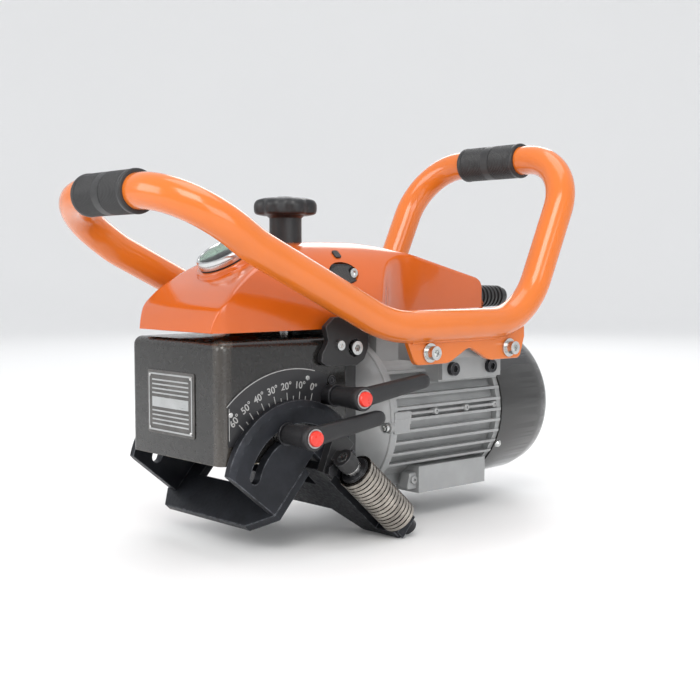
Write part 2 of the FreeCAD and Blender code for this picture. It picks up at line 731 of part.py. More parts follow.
        screws.append(head.fuse(cylinder(base + out * 68, out, 2.15, 11)).removeSplitter())
    add("fan_cover", hood)
    add("casing_screws", *screws)


def make_terminal_box():
    shell = rounded_block(-44.0, 44.0, 200.0, 300.0, 80.0, 96.0, 6.0, Z)
    inner = box(-38.0, 38.0, 206.0, 294.0, 84.0, 97.0)
    return shell.cut(inner)


def make_cutter():
    body_r = cutter_r - 3.0
    y0 = cutter_front_y + 1.0
    body = ring(Vector(0, y0, 0), Y, body_r, arbor_r + press_gap, cutter_width - 1.0)
    inserts = []
    insert_w = 6.2
    rows = 3
    for k in range(cutter_rows):
        for j in range(rows):
            angle = 360.0 / cutter_rows * k + 18.0 * j
            yc = y0 + 2.4 + j * 10.6
            pocket = box(-12.0, insert_w / 2, yc, yc + 10.0, body_r - 9.0, body_r + 5.0)
            pocket.rotate(Vector(0, 0, 0), Y, angle)
            body = body.cut(pocket)
            insert = box(insert_w / 2 - 4.0, insert_w / 2, yc + 0.2, yc + 9.8, body_r - 8.9, cutter_r)
            insert.rotate(Vector(0, 0, 0), Y, angle)
            inserts.append(insert)
    add("cutter_body", body)
    add("cutting_inserts", *inserts)
    washer = ring(Vector(0, cutter_front_y - 3.0, 0), Y, 16.0, 4.2, 4.0)
    add("cutter_screw", washer)
    screw = socket_screw(Vector(0, cutter_front_y - 3.0, 0), Y.negative(), 3.95, 20.0, 6.5, 8.0)
    add("cutter_screw", screw)


# ---------------------------------------------------------------- top cover

def cover_body(inset, bottom):
    """The cover's outline as the common part of a side, a plan and an end profile, shrunk by inset."""
    i = inset
    side = [
        (0.5 + i, bottom), (2.0 + i, 97.0), (7.0 + i, 109.0 - 0.2 * i), (24.0 + i * 0.8, 125.5 - 0.7 * i),
        (45.0 + i * 0.5, 140.0 - i), (78.0, 157.0 - i), (110.0, 166.0 - i), (150.0, cover_top - i),
        (193.0, cover_top - i), (219.0, 164.2 - i), (247.0, 158.6 - i), (289.0, 148.7 - i),
        (tail_end_y - 6 - i, 132.5 - i), (tail_end_y - i, 128.0 - i), (tail_end_y - i, bottom),
    ]
    w = cover_half_width - i
    t = tail_half_width - i
    plan_half = [
        (w - 9, 0.0 + i), (w - 1.5, 9.0 + i), (w, 22.0), (w, 186.0), (w - 3, 194.0), (w - 16.0, 212.0),
        (t + 9.0, 235.0), (t + 4.0, 280.0), (t, tail_end_y + 5 - i),
    ]
    top_half = [
        (w, bottom), (w, 116.0), (w - 5.0, 131.0 - i * 0.5), (w - 15.0, 150.0 - i), (w - 27.0, 161.0 - i),
        (w - 42.0, cover_top - i),
    ]
    side_solid = side_plate(side, -100, 100)
    plan = [Vector(x, y, bottom) for x, y in plan_half]
    plan += [Vector(-x, y, bottom) for x, y in reversed(plan_half)]
    plan_solid = polygon(plan).extrude(Vector(0, 0, 120))
    end = [Vector(x, -20, z) for x, z in top_half]
    end += [Vector(-x, -20, z) for x, z in reversed(top_half)]
    end_solid = polygon(end).extrude(Vector(0, 450, 0))
    return side_solid.common(plan_solid).common(end_solid)


def make_cover():
    shell = cover_body(0.0, cover_bottom).cut(cover_body(cover_wall, cover_bottom - 1.0))
    rear_bottom = 101.0
    shell = shell.cut(box(-100, 100, plate_front_y - 2, tail_end_y + 10, cover_bottom - 2, rear_bottom))
    shell = shell.cut(cylinder(Vector(0, knob_y, cover_top - 20), Z, knob_column_r + 0.4, 40))
    gauge_axis = Vector(0, -math.sin(math.radians(gauge_tilt)), math.cos(math.radians(gauge_tilt)))
    gauge_base = Vector(0, gauge_y, gauge_z)
    shell = shell.cut(cylinder(gauge_base - gauge_axis * 20, gauge_axis, 16.0, 40))
    insert_y = 160.0
    insert_z = 138.0
    insert_r = 10.6
    insert_length = 6.5
    screw_y = insert_y + 3.0
    openings = []
    for side in (-1, 1):
        openings.append(cylinder(Vector(side * 40, insert_y, insert_z), X * side, insert_r + 0.4, 30))
        wedge = side_plate([(133, 130), (158, 127.6), (158, 148.6)], side * 40, side * 70)
        openings.append(wedge)
    for opening in openings:
        shell = shell.cut(opening)
    gland_z = 112.0
    shell = shell.cut(cylinder(Vector(0, tail_end_y - 10, gland_z), Y, 11.2, 20))
    add("top_cover", shell)

    # steel bracket inside the cover: it stands on the slide plate and takes the cover's side screws
    wall_x = 44.0
    base_z = bridge_top
    bracket = box(-wall_x, wall_x, plate_front_y, plate_rear_y + 26, base_z, base_z + 3.0)
    for side in (-1, 1):
        x0 = wall_x - 3.0 if side > 0 else -wall_x
        bracket = bracket.fuse(box(x0, x0 + 3.0, plate_front_y, plate_rear_y + 26, base_z, insert_z + 8.0))
    bracket = bracket.cut(cylinder(Vector(-60, screw_y, insert_z), X, 2.5, 120))
    bracket = bracket.cut(box(-12, 12, plate_front_y - 1, plate_front_y + 0.01, base_z - 1, base_z + 4))
    add("cover_bracket", bracket.removeSplitter())
    inserts = []
    screws = []
    for side in (-1, 1):
        insert = cylinder(Vector(side * wall_x, insert_y, insert_z), X * side, insert_r, insert_length)
        insert = insert.cut(cylinder(Vector(side * (wall_x - 1), screw_y, insert_z), X * side, 2.6, 30))
        inserts.append(insert)
        seat = Vector(side * (wall_x + insert_length), screw_y, insert_z)
        screws.append(socket_screw(seat, X * side, 2.45, insert_length + 2.5, 4.4, 3.0))
    add("cover_inserts", *inserts)
    add("casing_screws", *screws)

    # cable gland and ribbed boot at the tail
    gland = ring(Vector(0, tail_end_y - cover_wall - 12, gland_z), Y, 11.0, 6.0, 16.0)
    lock = ring(Vector(0, tail_end_y - cover_wall - 6, gland_z), Y, 12.8, 11.0, 5.8)
    add("cable_gland", gland.fuse(lock).removeSplitter())
    boot_y0 = tail_end_y + 1.0
    boot = cone(Vector(0, boot_y0, gland_z), Y, 11.0, 9.0, 66.0)
    for k in range(10):
        boot = boot.fuse(cylinder(Vector(0, boot_y0 + 2 + 6.0 * k, gland_z), Y, 12.8 - 0.16 * k, 3.6))
    boot = boot.cut(cylinder(Vector(0, boot_y0 - 1, gland_z), Y, 5.5, 80))
    add("cable_boot", boot.removeSplitter())


def make_knob_and_gauge():
    knob_top = knob_bottom + knob_height
    lobe = cylinder(Vector(0, knob_y, knob_bottom), Z, knob_r, knob_height - 7)
    dome = Part.makeCone(knob_r, knob_r - 9, 7, Vector(0, knob_y, knob_top - 7), Z)
    knob = lobe.fuse(dome)
    for k in range(7):
        a = math.radians(360.0 / 7 * k + 12)
        c = Vector((knob_r + 7.2) * math.cos(a), knob_y + (knob_r + 7.2) * math.sin(a), knob_bottom - 1)
        knob = knob.cut(cylinder(c, Z, 9.5, knob_height + 2))
    column_z = cover_top - 12
    knob = knob.fuse(cylinder(Vector(0, knob_y, column_z), Z, knob_column_r, knob_bottom + 1 - column_z))
    knob = knob.cut(cylinder(Vector(0, knob_y, cover_top - 13), Z, screw_r + press_gap, 30))
    add("depth_knob", knob.removeSplitter())
    inner_top = head_top - guard_sheet
    screw_low = inner_top - 22.0 - 6.0
    screw = cylinder(Vector(0, knob_y, screw_low), Z, screw_r, cover_top + 16 - screw_low)
    collar_low = cylinder(Vector(0, knob_y, bridge_top + 0.1), Z, 10.0, 5.0)
    add("depth_screw", screw.fuse(collar_low).removeSplitter())

    tilt = math.radians(gauge_tilt)
    axis = Vector(0, -math.sin(tilt), math.cos(tilt))
    base = Vector(0, gauge_y, gauge_z)
    seal = ring(base - axis * 1.5, axis, gauge_r - 1.0, 15.5, 3.0)
    add("gauge_seal", seal)
    body0 = base + axis * 1.5
    bezel = cylinder(body0, axis, gauge_r, gauge_height)
    bezel = bezel.cut(cylinder(body0 + axis * 1.5, axis, gauge_r - 3.0, gauge_height))
    bezel = bezel.fuse(ring(base - axis * 14, axis, 15.3, 12.0, 15.6))
    bezel = bezel.cut(cylinder(body0 - axis, axis, 2.1, 4))
    add("gauge_bezel", bezel.removeSplitter())
    dial = cylinder(body0 + axis * 1.6, axis, gauge_r - 3.2, 1.2).cut(cylinder(body0, axis, 2.1, 5))
    add("gauge_dial", dial)
    spindle = cylinder(body0 - axis * 0.5, axis, 2.0, 4.6)
    pointer = box(-0.6, 0.6, -4.0, 17.5, 0, 0.6)
    pointer.rotate(Vector(0, 0, 0), X, gauge_tilt)
    pointer.translate(body0 + axis * 3.4)
    add("gauge_needle", spindle.fuse(pointer).removeSplitter())
    lens = cylinder(body0 + axis * (gauge_height - 2.4), axis, gauge_r - 3.1, 2.0)
    add("gauge_lens", lens)


# ---------------------------------------------------------------- handles

def rounded_path(points, radii):
    """Straight runs joined by tangent arcs at the inner points."""
    edges = []
    cursor = points[0]
    for k in range(1, len(points) - 1):
        p = points[k]
        a = (points[k - 1] - p).normalize()
        b = (points[k + 1] - p).normalize()
        half = math.acos(max(-1.0, min(1.0, a.dot(b)))) / 2
        reach = radii[k - 1] / math.tan(half)
        start = p + a * reach
        end = p + b * reach
        bisector = (a + b).normalize()
        centre = p + bisector * (radii[k - 1] / math.sin(half))
        middle = centre - bisector * radii[k - 1]
        edges.append(Part.LineSegment(cursor, start).toShape())
        edges.append(Part.Arc(start, middle, end).toShape())
        cursor = end
    edges.append(Part.LineSegment(cursor, points[-1]).toShape())
    return Part.Wire(edges)


def tube_along(points, radii, outer, inner):
    path = rounded_path(points, radii)
    start = points[0]
    direction = (points[1] - points[0]).normalize()
    outer_wire = Part.Wire(Part.makeCircle(outer, start, direction))
    inner_wire = Part.Wire(Part.makeCircle(inner, start, direction))
    skin = path.makePipeShell([outer_wire], True, False)
    core = path.makePipeShell([inner_wire], True, False)
    return skin.cut(core)


def make_handles():
    h = handle_half_width
    slope_start_y = 8.0
    slope_start_z = 160.4
    low_start_y = 157.0
    low_end_y = 339.0
    points = [
        Vector(0, front_bar_y, front_bar_z), Vector(h - 4, front_bar_y, front_bar_z),
        Vector(h - 2.5, slope_start_y, slope_start_z), Vector(h, low_start_y, lower_run_z),
        Vector(h, low_end_y, lower_run_z), Vector(h, rear_bar_y, rear_bar_z),
        Vector(0, rear_bar_y, rear_bar_z),
    ]
    radii = [62.0, 110.0, 120.0, 75.0, 62.0]
    tube = tube_along(points, radii, tube_r, tube_r - tube_wall)

    x0 = h - bracket_thickness / 2
    yc = bracket_bolt_y
    outline = [
        (yc - 82, lower_run_z - 14.2), (yc - 72, bracket_low_z), (yc - 28, bracket_low_z),
        (yc, bracket_low_z + 14.0), (yc + 28, bracket_low_z), (yc + 73, bracket_low_z),
        (yc + 80, lower_run_z - 14.2),
    ]
    plate = side_plate(outline, x0, x0 + bracket_thickness)
    plate = round_along_x(plate, 4.0, x0, x0 + bracket_thickness)
    top = box(x0, x0 + bracket_thickness, yc - 82, yc + 80, 70.0, lower_run_z - 8)
    top = top.cut(box(x0 - 1, x0 + bracket_thickness + 1, yc - 83, yc - 74, 70, 74))
    plate = plate.fuse(top)
    core_wire = Part.Wire(Part.makeCircle(tube_r - 0.4, points[0], X))
    core = rounded_path(points, radii).makePipeShell([core_wire], True, False)
    plate = plate.cut(core)
    bolt_ys = (yc - bracket_bolt_pitch / 2, yc + bracket_bolt_pitch / 2)
    for y in bolt_ys:
        plate = plate.cut(cylinder(Vector(x0 - 1, y, bracket_bolt_z), X, 4.3, bracket_thickness + 2))
    half_loop = tube.fuse(plate).removeSplitter()
    add("scale_side_handle", half_loop)
    add("plain_side_handle", mirrored(half_loop))

    for y, z in ((front_bar_y, front_bar_z), (rear_bar_y, rear_bar_z)):
        grip = ring(Vector(-grip_half_length, y, z), X, grip_r, tube_r + press_gap, 2 * grip_half_length)
        add("handle_grips", grip)

    carrier_x1 = x0 - 4.5
    pad_x = motor_r + 4
    pad_bolts = []
    bracket_bolts = []
    washers = []
    bushes = []
    for side in (1, -1):
        flange = box(pad_x, pad_x + 5.0, 246.0, 330.0, 36.0, 62.0)
        shelf = box(pad_x, carrier_x1, 192.0, 326.0, 58.0, 76.0)
        carrier = flange.fuse(shelf)
        for y in bolt_ys:
            carrier = carrier.cut(cylinder(Vector(carrier_x1 - 14, y, bracket_bolt_z), X, 4.05, 20))
        for y in (259.0, 313.0):
            carrier = carrier.cut(cylinder(Vector(pad_x - 1, y, 46.0), X, 4.3, 12))
        carrier = carrier.removeSplitter()
        add("handle_carriers", carrier if side > 0 else mirrored(carrier))
        for y in (259.0, 313.0):
            seat = Vector(side * (pad_x + 5.0), y, 46.0)
            pad_bolts.append(socket_screw(seat, X * side, 3.95, 20.0, 6.5, 5.0))
        for y in bolt_ys:
            outer_x = x0 + bracket_thickness
            washer_at = Vector(side * outer_x, y, bracket_bolt_z)
            washers.append(ring(washer_at, X * side, bracket_washer_r, 4.1, 2.2))
            seat = Vector(side * (outer_x + 2.2), y, bracket_bolt_z)
            bracket_bolts.append(socket_screw(seat, X * side, 4.0, bracket_thickness + 4.5 + 14.0, 6.4, 7.4))
            bush = ring(Vector(side * carrier_x1, y, bracket_bolt_z), X * side, bracket_washer_r, 4.1, 4.5)
            bushes.append(bush)
    add("pad_bolts", *pad_bolts)
    add("handle_bolts", *bracket_bolts)
    add("handle_washers", *washers)
    add("damper_bushes", *bushes)


def make_side_brackets():
    """Beaked black plates that close the slide's side, bolted to the slide plate's edge."""
    outline = [
        (119, 99.0), (109, 91.0), (112, 78.0), (105, 67.0), (104, 60.0), (110, 56.5), (146, 55.0),
        (155, 60.0), (160, 70.0), (160, 86.0), (152, 100.0),
    ]
    x0 = guard_half + 0.35
    thickness = 6.0
    bolt_y = (plate_front_y + plate_rear_y) / 2
    plate = side_plate(outline, x0, x0 + thickness)
    plate = round_along_x(plate, 2.5, x0, x0 + thickness)
    plate = plate.cut(cylinder(Vector(x0 + 2.5, bolt_y, 71.0), X, 8.0, 10))
    plate = plate.cut(cylinder(Vector(x0 - 1, bolt_y, 71.0), X, 4.2, 12))
    plate = plate.cut(cylinder(Vector(x0 - 1, 125.0, 74.0), X, 2.5, 12))
    bolts = []
    for side in (1, -1):
        add("side_brackets", plate if side > 0 else mirrored(plate))
        large_seat = Vector(side * (x0 + 2.5), bolt_y, 71.0)
        small_seat = Vector(side * (x0 + thickness), 125.0, 74.0)
        bolts.append(socket_screw(large_seat, X * side, 3.95, 16.0, 6.3, 7.0))
        bolts.append(socket_screw(small_seat, X * side, 2.45, 5.9, 4.4, 3.0))
    add("handle_bolts", *bolts)


# ---------------------------------------------------------------- clamping levers

def make_lever(prefix, y, z, base_x, stud_inner_x):
    top_x = base_x + lever_hub_length
    hub = cone(Vector(base_x, y, z), X, lever_hub_r - 2.4, lever_hub_r, lever_hub_length - 6.0)
    hub = hub.fuse(cylinder(Vector(base_x + lever_hub_length - 6.0, y, z), X, lever_hub_r, 6.0))
    a = math.radians(lever_rise)
    along = Vector(0, math.cos(a), math.sin(a))
    across = Vector(0, -math.sin(a), math.cos(a))
    root = Vector(0, y, z)

    def bar(s, half_height, x0, x1):
        c = root + along * s
        corners = [
            Vector(x0, 0, 0) + c - across * half_height, Vector(x1, 0, 0) + c - across * half_height,
            Vector(x1, 0, 0) + c + across * half_height, Vector(x0, 0, 0) + c + across * half_height,
        ]
        return Part.makePolygon(corners + [corners[0]])

    tip_at = lever_length - lever_tip_r
    near = bar(0, 7.4, top_x - 12.0, top_x - 0.4)
    far = bar(tip_at, lever_tip_r, top_x - 8.5, top_x + 3.5)
    arm = Part.makeLoft([near, far], True, True)
    tip = cylinder(Vector(top_x - 8.5, 0, 0) + root + along * tip_at, X, lever_tip_r, 12.0)
    lever = hub.fuse(arm).fuse(tip)
    lever = lever.cut(cylinder(Vector(base_x - 1, y, z), X, lever_stud_r + running_clearance, 15.0))
    well_depth = 9.0
    lever = lever.cut(cylinder(Vector(top_x - well_depth, y, z), X, button_r + 0.1, well_depth + 1))
    add(prefix + "_lever", lever.removeSplitter())
    button_proud = 3.6
    back = top_x - well_depth + button_travel + 0.4
    button = cylinder(Vector(back, y, z), X, button_r, top_x + button_proud - back)
    add(prefix + "_button", button)
    stud = cylinder(Vector(stud_inner_x, y, z), X, lever_stud_r, base_x + 13.0 - stud_inner_x)
    washer = ring(Vector(base_x - 2.3, y, z), X, 10.0, lever_stud_r + press_gap, 2.0)
    add("clamp_studs", stud)
    add("clamp_washers", washer)


def make_levers():
    lower_base = sector_outer_x + 2.6
    make_lever("lower", lower_lever_y, lower_lever_z, lower_base, guard_inner - 4.0)
    upper_base = sector_outer_x + 2.6
    make_lever("upper", upper_lever_y, upper_lever_z, upper_base, guard_inner - 7.0)
    spacer_x = guard_half + scale_thickness
    spacer = ring(Vector(spacer_x, upper_lever_y, upper_lever_z), X, 9.0, lever_stud_r + press_gap,
                  upper_base - 2.3 - spacer_x)
    add("clamp_washers", spacer)
    washer_t = 2.0
    bolt_seat = Vector(-sector_outer_x - washer_t, lower_lever_y, lower_lever_z)
    shank = sector_outer_x + washer_t - guard_inner + 4.0
    bolt = hex_bolt(bolt_seat, X.negative(), 16.0, 7.0, lever_stud_r, shank)
    washer_seat = Vector(-sector_outer_x, lower_lever_y, lower_lever_z)
    bolt_washer = ring(washer_seat, X.negative(), 11.0, lever_stud_r + press_gap, washer_t)
    add("clamp_studs", bolt)
    add("clamp_washers", bolt_washer)


make_head()
make_scale()
make_guide()
make_roller()
make_motor()
make_cutter()
make_cover()
make_knob_and_gauge()
make_handles()
make_side_brackets()
make_levers()

os.makedirs("parts", exist_ok=True)
for name, solids in parts.items():
    moved = []
    for solid in solids:
        for piece in solid.Solids:
            copy = piece.copy()
            copy.translate(row_shift)
            moved.append(copy)
    shape = moved[0] if len(moved) == 1 else Part.makeCompound(moved)
    shape.exportStep("parts/%s.step" % name)
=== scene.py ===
import json
import math

import bmesh
import bpy
import numpy as np
from bpy.props import FloatProperty, FloatVectorProperty, IntProperty, PointerProperty
from mathutils import Matrix, Vector


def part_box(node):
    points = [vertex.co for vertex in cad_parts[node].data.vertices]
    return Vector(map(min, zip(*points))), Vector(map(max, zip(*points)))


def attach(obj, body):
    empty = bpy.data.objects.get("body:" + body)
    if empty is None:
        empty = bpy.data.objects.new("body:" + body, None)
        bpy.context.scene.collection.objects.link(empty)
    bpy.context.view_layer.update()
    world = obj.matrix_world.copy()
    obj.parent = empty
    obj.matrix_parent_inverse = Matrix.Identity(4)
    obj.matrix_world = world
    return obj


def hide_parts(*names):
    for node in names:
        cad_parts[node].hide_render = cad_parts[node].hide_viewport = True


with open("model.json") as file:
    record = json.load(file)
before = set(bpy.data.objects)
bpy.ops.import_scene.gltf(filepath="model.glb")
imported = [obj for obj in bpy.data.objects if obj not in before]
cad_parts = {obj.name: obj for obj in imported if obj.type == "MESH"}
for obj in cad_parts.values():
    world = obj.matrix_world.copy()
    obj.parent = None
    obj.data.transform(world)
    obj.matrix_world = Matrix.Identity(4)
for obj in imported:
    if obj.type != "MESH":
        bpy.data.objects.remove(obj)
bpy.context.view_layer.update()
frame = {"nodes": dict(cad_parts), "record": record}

bl_info = {
    "name": "Plate Beveller Looks",
    "version": (1, 0, 0),
    "blender": (4, 5, 0),
    "location": "3D View > Sidebar > Beveller",
    "description": "Shells, handles, controls and finishes of a hand-held plate bevelling machine",
    "category": "Object",
}

# Sizes below are in millimetres about the machine's own datum: x across from the middle,
# y back from the guard's front face, z up from the motor axis.
MM = 0.001
guard_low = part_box("head_guard")[0]
drum_low, drum_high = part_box("fan_cover")
DATUM = np.array([0.0, guard_low.y, (drum_low.z + drum_high.z) / 2])

BODY_OF = {}
for body_name, node_names in frame["record"]["behaviour"]["bodies"].items():
    for node_name in node_names:
        BODY_OF[node_name] = body_name
SLOT_OF = {entry["node"]: entry["material_slot"] for entry in frame["record"]["subparts"]}


def to_frame(points):
    """Machine millimetres to the frame's metres."""
    return np.asarray(points, float) * MM + DATUM


def from_frame(point):
    """The frame's metres to machine millimetres."""
    return (np.asarray(point, float) - DATUM) / MM


# ---------------------------------------------------------------- settings

def colour_setting(name, description, default):
    """A colour that the panel can change."""
    return FloatVectorProperty(
        name=name, description=description, default=default, size=3, subtype="COLOR", min=0.0, max=1.0
    )


def length_setting(name, description, default):
    """A length that the panel can change, its default given in millimetres."""
    return FloatProperty(name=name, description=description, default=default * MM, unit="LENGTH", min=0.0)


class BEVELLER_PG_colours(bpy.types.PropertyGroup):
    """Main colours of the machine"""

    cover: colour_setting("Cover", "Moulded top cover", (0.60, 0.112, 0.010))
    handle: colour_setting("Handle", "Powder coat of the handle loop", (0.68, 0.160, 0.016))
    guard: colour_setting("Guard", "Paint of the head guard", (0.011, 0.010, 0.009))
    guide: colour_setting("Guide", "Phosphated steel of the tilting guide", (0.020, 0.022, 0.028))
    motor: colour_setting("Motor", "Paint of the motor castings", (0.33, 0.335, 0.335))
    plastic: colour_setting("Black plastic", "Knob, levers and boot", (0.010, 0.010, 0.011))
    button: colour_setting("Buttons", "Push buttons of the levers", (0.80, 0.035, 0.018))


class BEVELLER_PG_sizes(bpy.types.PropertyGroup):
    """Sizes of the details that the looks add"""

    tube_radius: length_setting("Tube radius", "Outside radius of the handle tube", 15.0)
    grip_radius: length_setting("Grip radius", "Outside radius of the rubber grips", 18.5)
    grip_half_length: length_setting("Grip half length", "Half the length of a grip", 39.0)
    rib_pitch: length_setting("Rib pitch", "Distance between two ribs of a grip", 2.2)
    rib_depth: length_setting("Rib depth", "Depth of the grooves of a grip", 0.55)
    cover_wall: length_setting("Cover wall", "Thickness of the moulded cover", 3.0)
    edge_round: length_setting("Edge round", "Broken edge on machined parts", 0.5)
    knob_lobes: IntProperty(name="Knob lobes", description="Lobes round the depth knob", default=7, min=3)
    roller_rings: IntProperty(name="Roller rings", description="Rings of the guide roller", default=16, min=4)
    boot_ribs: IntProperty(name="Boot ribs", description="Ribs of the cable boot", default=10, min=3)


def sizes():
    """The scene's size settings."""
    return bpy.context.scene.beveller_sizes


def colours():
    """The scene's colour settings."""
    return bpy.context.scene.beveller_colours


def mm(name):
    """A length setting in millimetres."""
    return getattr(sizes(), name) / MM


# ---------------------------------------------------------------- surfaces worked out as arrays

def unit(vector):
    """A vector divided by its own length."""
    vector = np.asarray(vector, float)
    return vector / np.linalg.norm(vector)


def side_axes(axis):
    """Two directions square to the axis and to each other."""
    axis = unit(axis)
    helper = np.array([0.0, 0.0, 1.0]) if abs(axis[2]) < 0.9 else np.array([1.0, 0.0, 0.0])
    across = unit(np.cross(axis, helper))
    return across, np.cross(axis, across)


def grid(points, wrap_rows=False, wrap_columns=False, cap_first=False, cap_last=False):
    """Quads between neighbouring points of a (row, column) grid, with optional joins and end faces."""
    rows, columns = points.shape[:2]
    index = np.arange(rows * columns).reshape(rows, columns)
    if wrap_rows:
        index = np.vstack([index, index[:1]])
    if wrap_columns:
        index = np.hstack([index, index[:, :1]])
    quads = np.stack([index[:-1, :-1], index[:-1, 1:], index[1:, 1:], index[1:, :-1]], axis=-1)
    faces = quads.reshape(-1, 4).tolist()
    if cap_first:
        faces.append(index[0, :columns].tolist())
    if cap_last:
        faces.append(index[rows - 1, :columns][::-1].tolist())
    return points.reshape(-1, 3), faces


def eased(points, radius, steps=5, closed=False):
    """Every corner gives way to a quadratic curve from radius before it to radius after it, or to
    just under half of its shorter edge where that is less."""
    corner = np.asarray(points, float)
    back = np.roll(corner, 1, axis=0) - corner
    ahead = np.roll(corner, -1, axis=0) - corner
    back_length = np.linalg.norm(back, axis=1)
    ahead_length = np.linalg.norm(ahead, axis=1)
    reach = np.minimum(radius, 0.45 * np.minimum(back_length, ahead_length))
    start = corner + back * (reach / back_length)[:, None]
    end = corner + ahead * (reach / ahead_length)[:, None]
    t = np.linspace(0.0, 1.0, steps)[None, :, None]
    curve = (1 - t) ** 2 * start[:, None] + 2 * t * (1 - t) * corner[:, None] + t ** 2 * end[:, None]
    if closed:
        return curve.reshape(-1, corner.shape[1])
    return np.vstack([corner[:1], curve[1:-1].reshape(-1, corner.shape[1]), corner[-1:]])


def evenly(line, count):
    """A polyline's points spaced evenly along its length."""
    step = np.linalg.norm(np.diff(line, axis=0), axis=1)
    along = np.concatenate([[0.0], np.cumsum(step)])
    wanted = np.linspace(0.0, along[-1], count)
    return np.stack([np.interp(wanted, along, line[:, k]) for k in range(line.shape[1])], axis=1)


def lathe(profile, start, axis, steps=72, closed=False):
    """A profile of (distance along the axis, radius) turned once round the axis."""
    profile = np.asarray(profile, float)
    axis = unit(axis)
    across, up = side_axes(axis)
    turn = np.linspace(0.0, 2 * np.pi, steps, endpoint=False)
    spokes = np.cos(turn)[:, None] * across + np.sin(turn)[:, None] * up
    points = np.asarray(start, float) + profile[:, 0, None, None] * axis + profile[:, 1, None, None] * spokes
    return grid(points, wrap_rows=closed, wrap_columns=True)


def bent_path(points, radii, steps):
    """Straight runs joined by arcs of the given radii, each tangent to its two runs."""
    points = np.asarray(points, float)
    path = [points[:1]]
    for k, radius in enumerate(radii, start=1):
        to_back = unit(points[k - 1] - points[k])
        to_ahead = unit(points[k + 1] - points[k])
        half = math.acos(float(np.clip(to_back @ to_ahead, -1, 1))) / 2
        bisector = unit(to_back + to_ahead)
        centre = points[k] + bisector * radius / math.sin(half)
        side = unit(to_ahead - to_back)
        sweep = np.linspace(-(np.pi / 2 - half), np.pi / 2 - half, steps)[:, None]
        path.append(centre + radius * (np.sin(sweep) * side - np.cos(sweep) * bisector))
    path.append(points[-1:])
    return np.vstack(path)


def tube(path, radius, reference, steps=56):
    """A circle carried along a path; its plane is square to the path's direction at each point.
    Both ends are closed."""
    tangent = np.gradient(path, axis=0)
    tangent /= np.linalg.norm(tangent, axis=1)[:, None]
    across = np.cross(tangent, reference)
    across /= np.linalg.norm(across, axis=1)[:, None]
    up = np.cross(across, tangent)
    turn = np.linspace(0.0, 2 * np.pi, steps, endpoint=False)
    ring = np.cos(turn)[None, :, None] * across[:, None] + np.sin(turn)[None, :, None] * up[:, None]
    return grid(path[:, None] + radius * ring, wrap_columns=True, cap_first=True, cap_last=True)


def inset(outline, amount):
    """An outline moved inwards by amount along the mean normal of its two edges at each point."""
    ahead = np.roll(outline, -1, axis=0) - outline
    ahead /= np.linalg.norm(ahead, axis=1)[:, None] + 1e-12
    normal = np.stack([-ahead[:, 1], ahead[:, 0]], axis=1)
    mean = normal + np.roll(normal, 1, axis=0)
    mean /= np.linalg.norm(mean, axis=1)[:, None] + 1e-12
    area = np.sum(outline[:, 0] * np.roll(outline[:, 1], -1) - outline[:, 1] * np.roll(outline[:, 0], -1))
    return outline + mean * amount * np.sign(area)


def plate(outline, origin, u_axis, v_axis, thickness, edge=0.5):
    """A flat outline given depth, with both rims broken by a small chamfer."""
    outline = np.asarray(outline, float)
    normal = np.cross(u_axis, v_axis)
    depths = ((0.0, edge), (edge, 0.0), (thickness - edge, 0.0), (thickness, edge))
    rings = []
    for depth, shrink in depths:
        flat = inset(outline, shrink)
        rings.append(origin + flat[:, :1] * u_axis + flat[:, 1:] * v_axis + depth * normal)
    return grid(np.stack(rings), wrap_columns=True, cap_first=True, cap_last=True)


def block(low, high):
    """A plain block between two corners, for bars and tick marks."""
    low, high = np.asarray(low, float), np.asarray(high, float)
    outline = np.array([[low[0], low[1]], [high[0], low[1]], [high[0], high[1]], [low[0], high[1]]])
    rings = [np.column_stack([outline, np.full(4, z)]) for z in (low[2], high[2])]
    return grid(np.stack(rings), wrap_columns=True, cap_first=True, cap_last=True)


def mirrored(shape):
    """The same shape on the machine's other side: the x of every point changes its sign."""
    return shape[0] * np.array([-1.0, 1.0, 1.0]), shape[1]


X_AXIS = np.array([1.0, 0.0, 0.0])
Y_AXIS = np.array([0.0, 1.0, 0.0])
Z_AXIS = np.array([0.0, 0.0, 1.0])


# The corner of the V guide, the rear plate's lean from upright, and the directions down along
# that plate and square to it.
PIVOT = np.array([0.0, 76.0, -47.0])
BEVEL = math.radians(48.0)
DOWN_GUIDE = np.array([0.0, math.sin(BEVEL), -math.cos(BEVEL)])
OFF_GUIDE = np.array([0.0, math.cos(BEVEL), math.sin(BEVEL)])


def guide_point(x, along, above):
    """A point by the rear guide: along runs down to the back, above is out of the work."""
    return PIVOT + x * X_AXIS + along * DOWN_GUIDE + above * OFF_GUIDE


ROLLER_START = guide_point(100.0, 26.0, 39.5)
GUARD_CORNER = (61.5, 8.0)


# ---------------------------------------------------------------- meshes and pieces

def build(name, shapes, sharp=34.0):
    """One mesh object from several shapes in machine millimetres, its normals outwards."""
    vertices, faces, offset = [], [], 0
    for points, polygons in shapes:
        vertices.append(points)
        faces += [[index + offset for index in polygon] for polygon in polygons]
        offset += len(points)
    mesh = bpy.data.meshes.new(name)
    mesh.from_pydata(to_frame(np.vstack(vertices)).tolist(), [], faces)
    return finished_object(name, mesh, sharp)


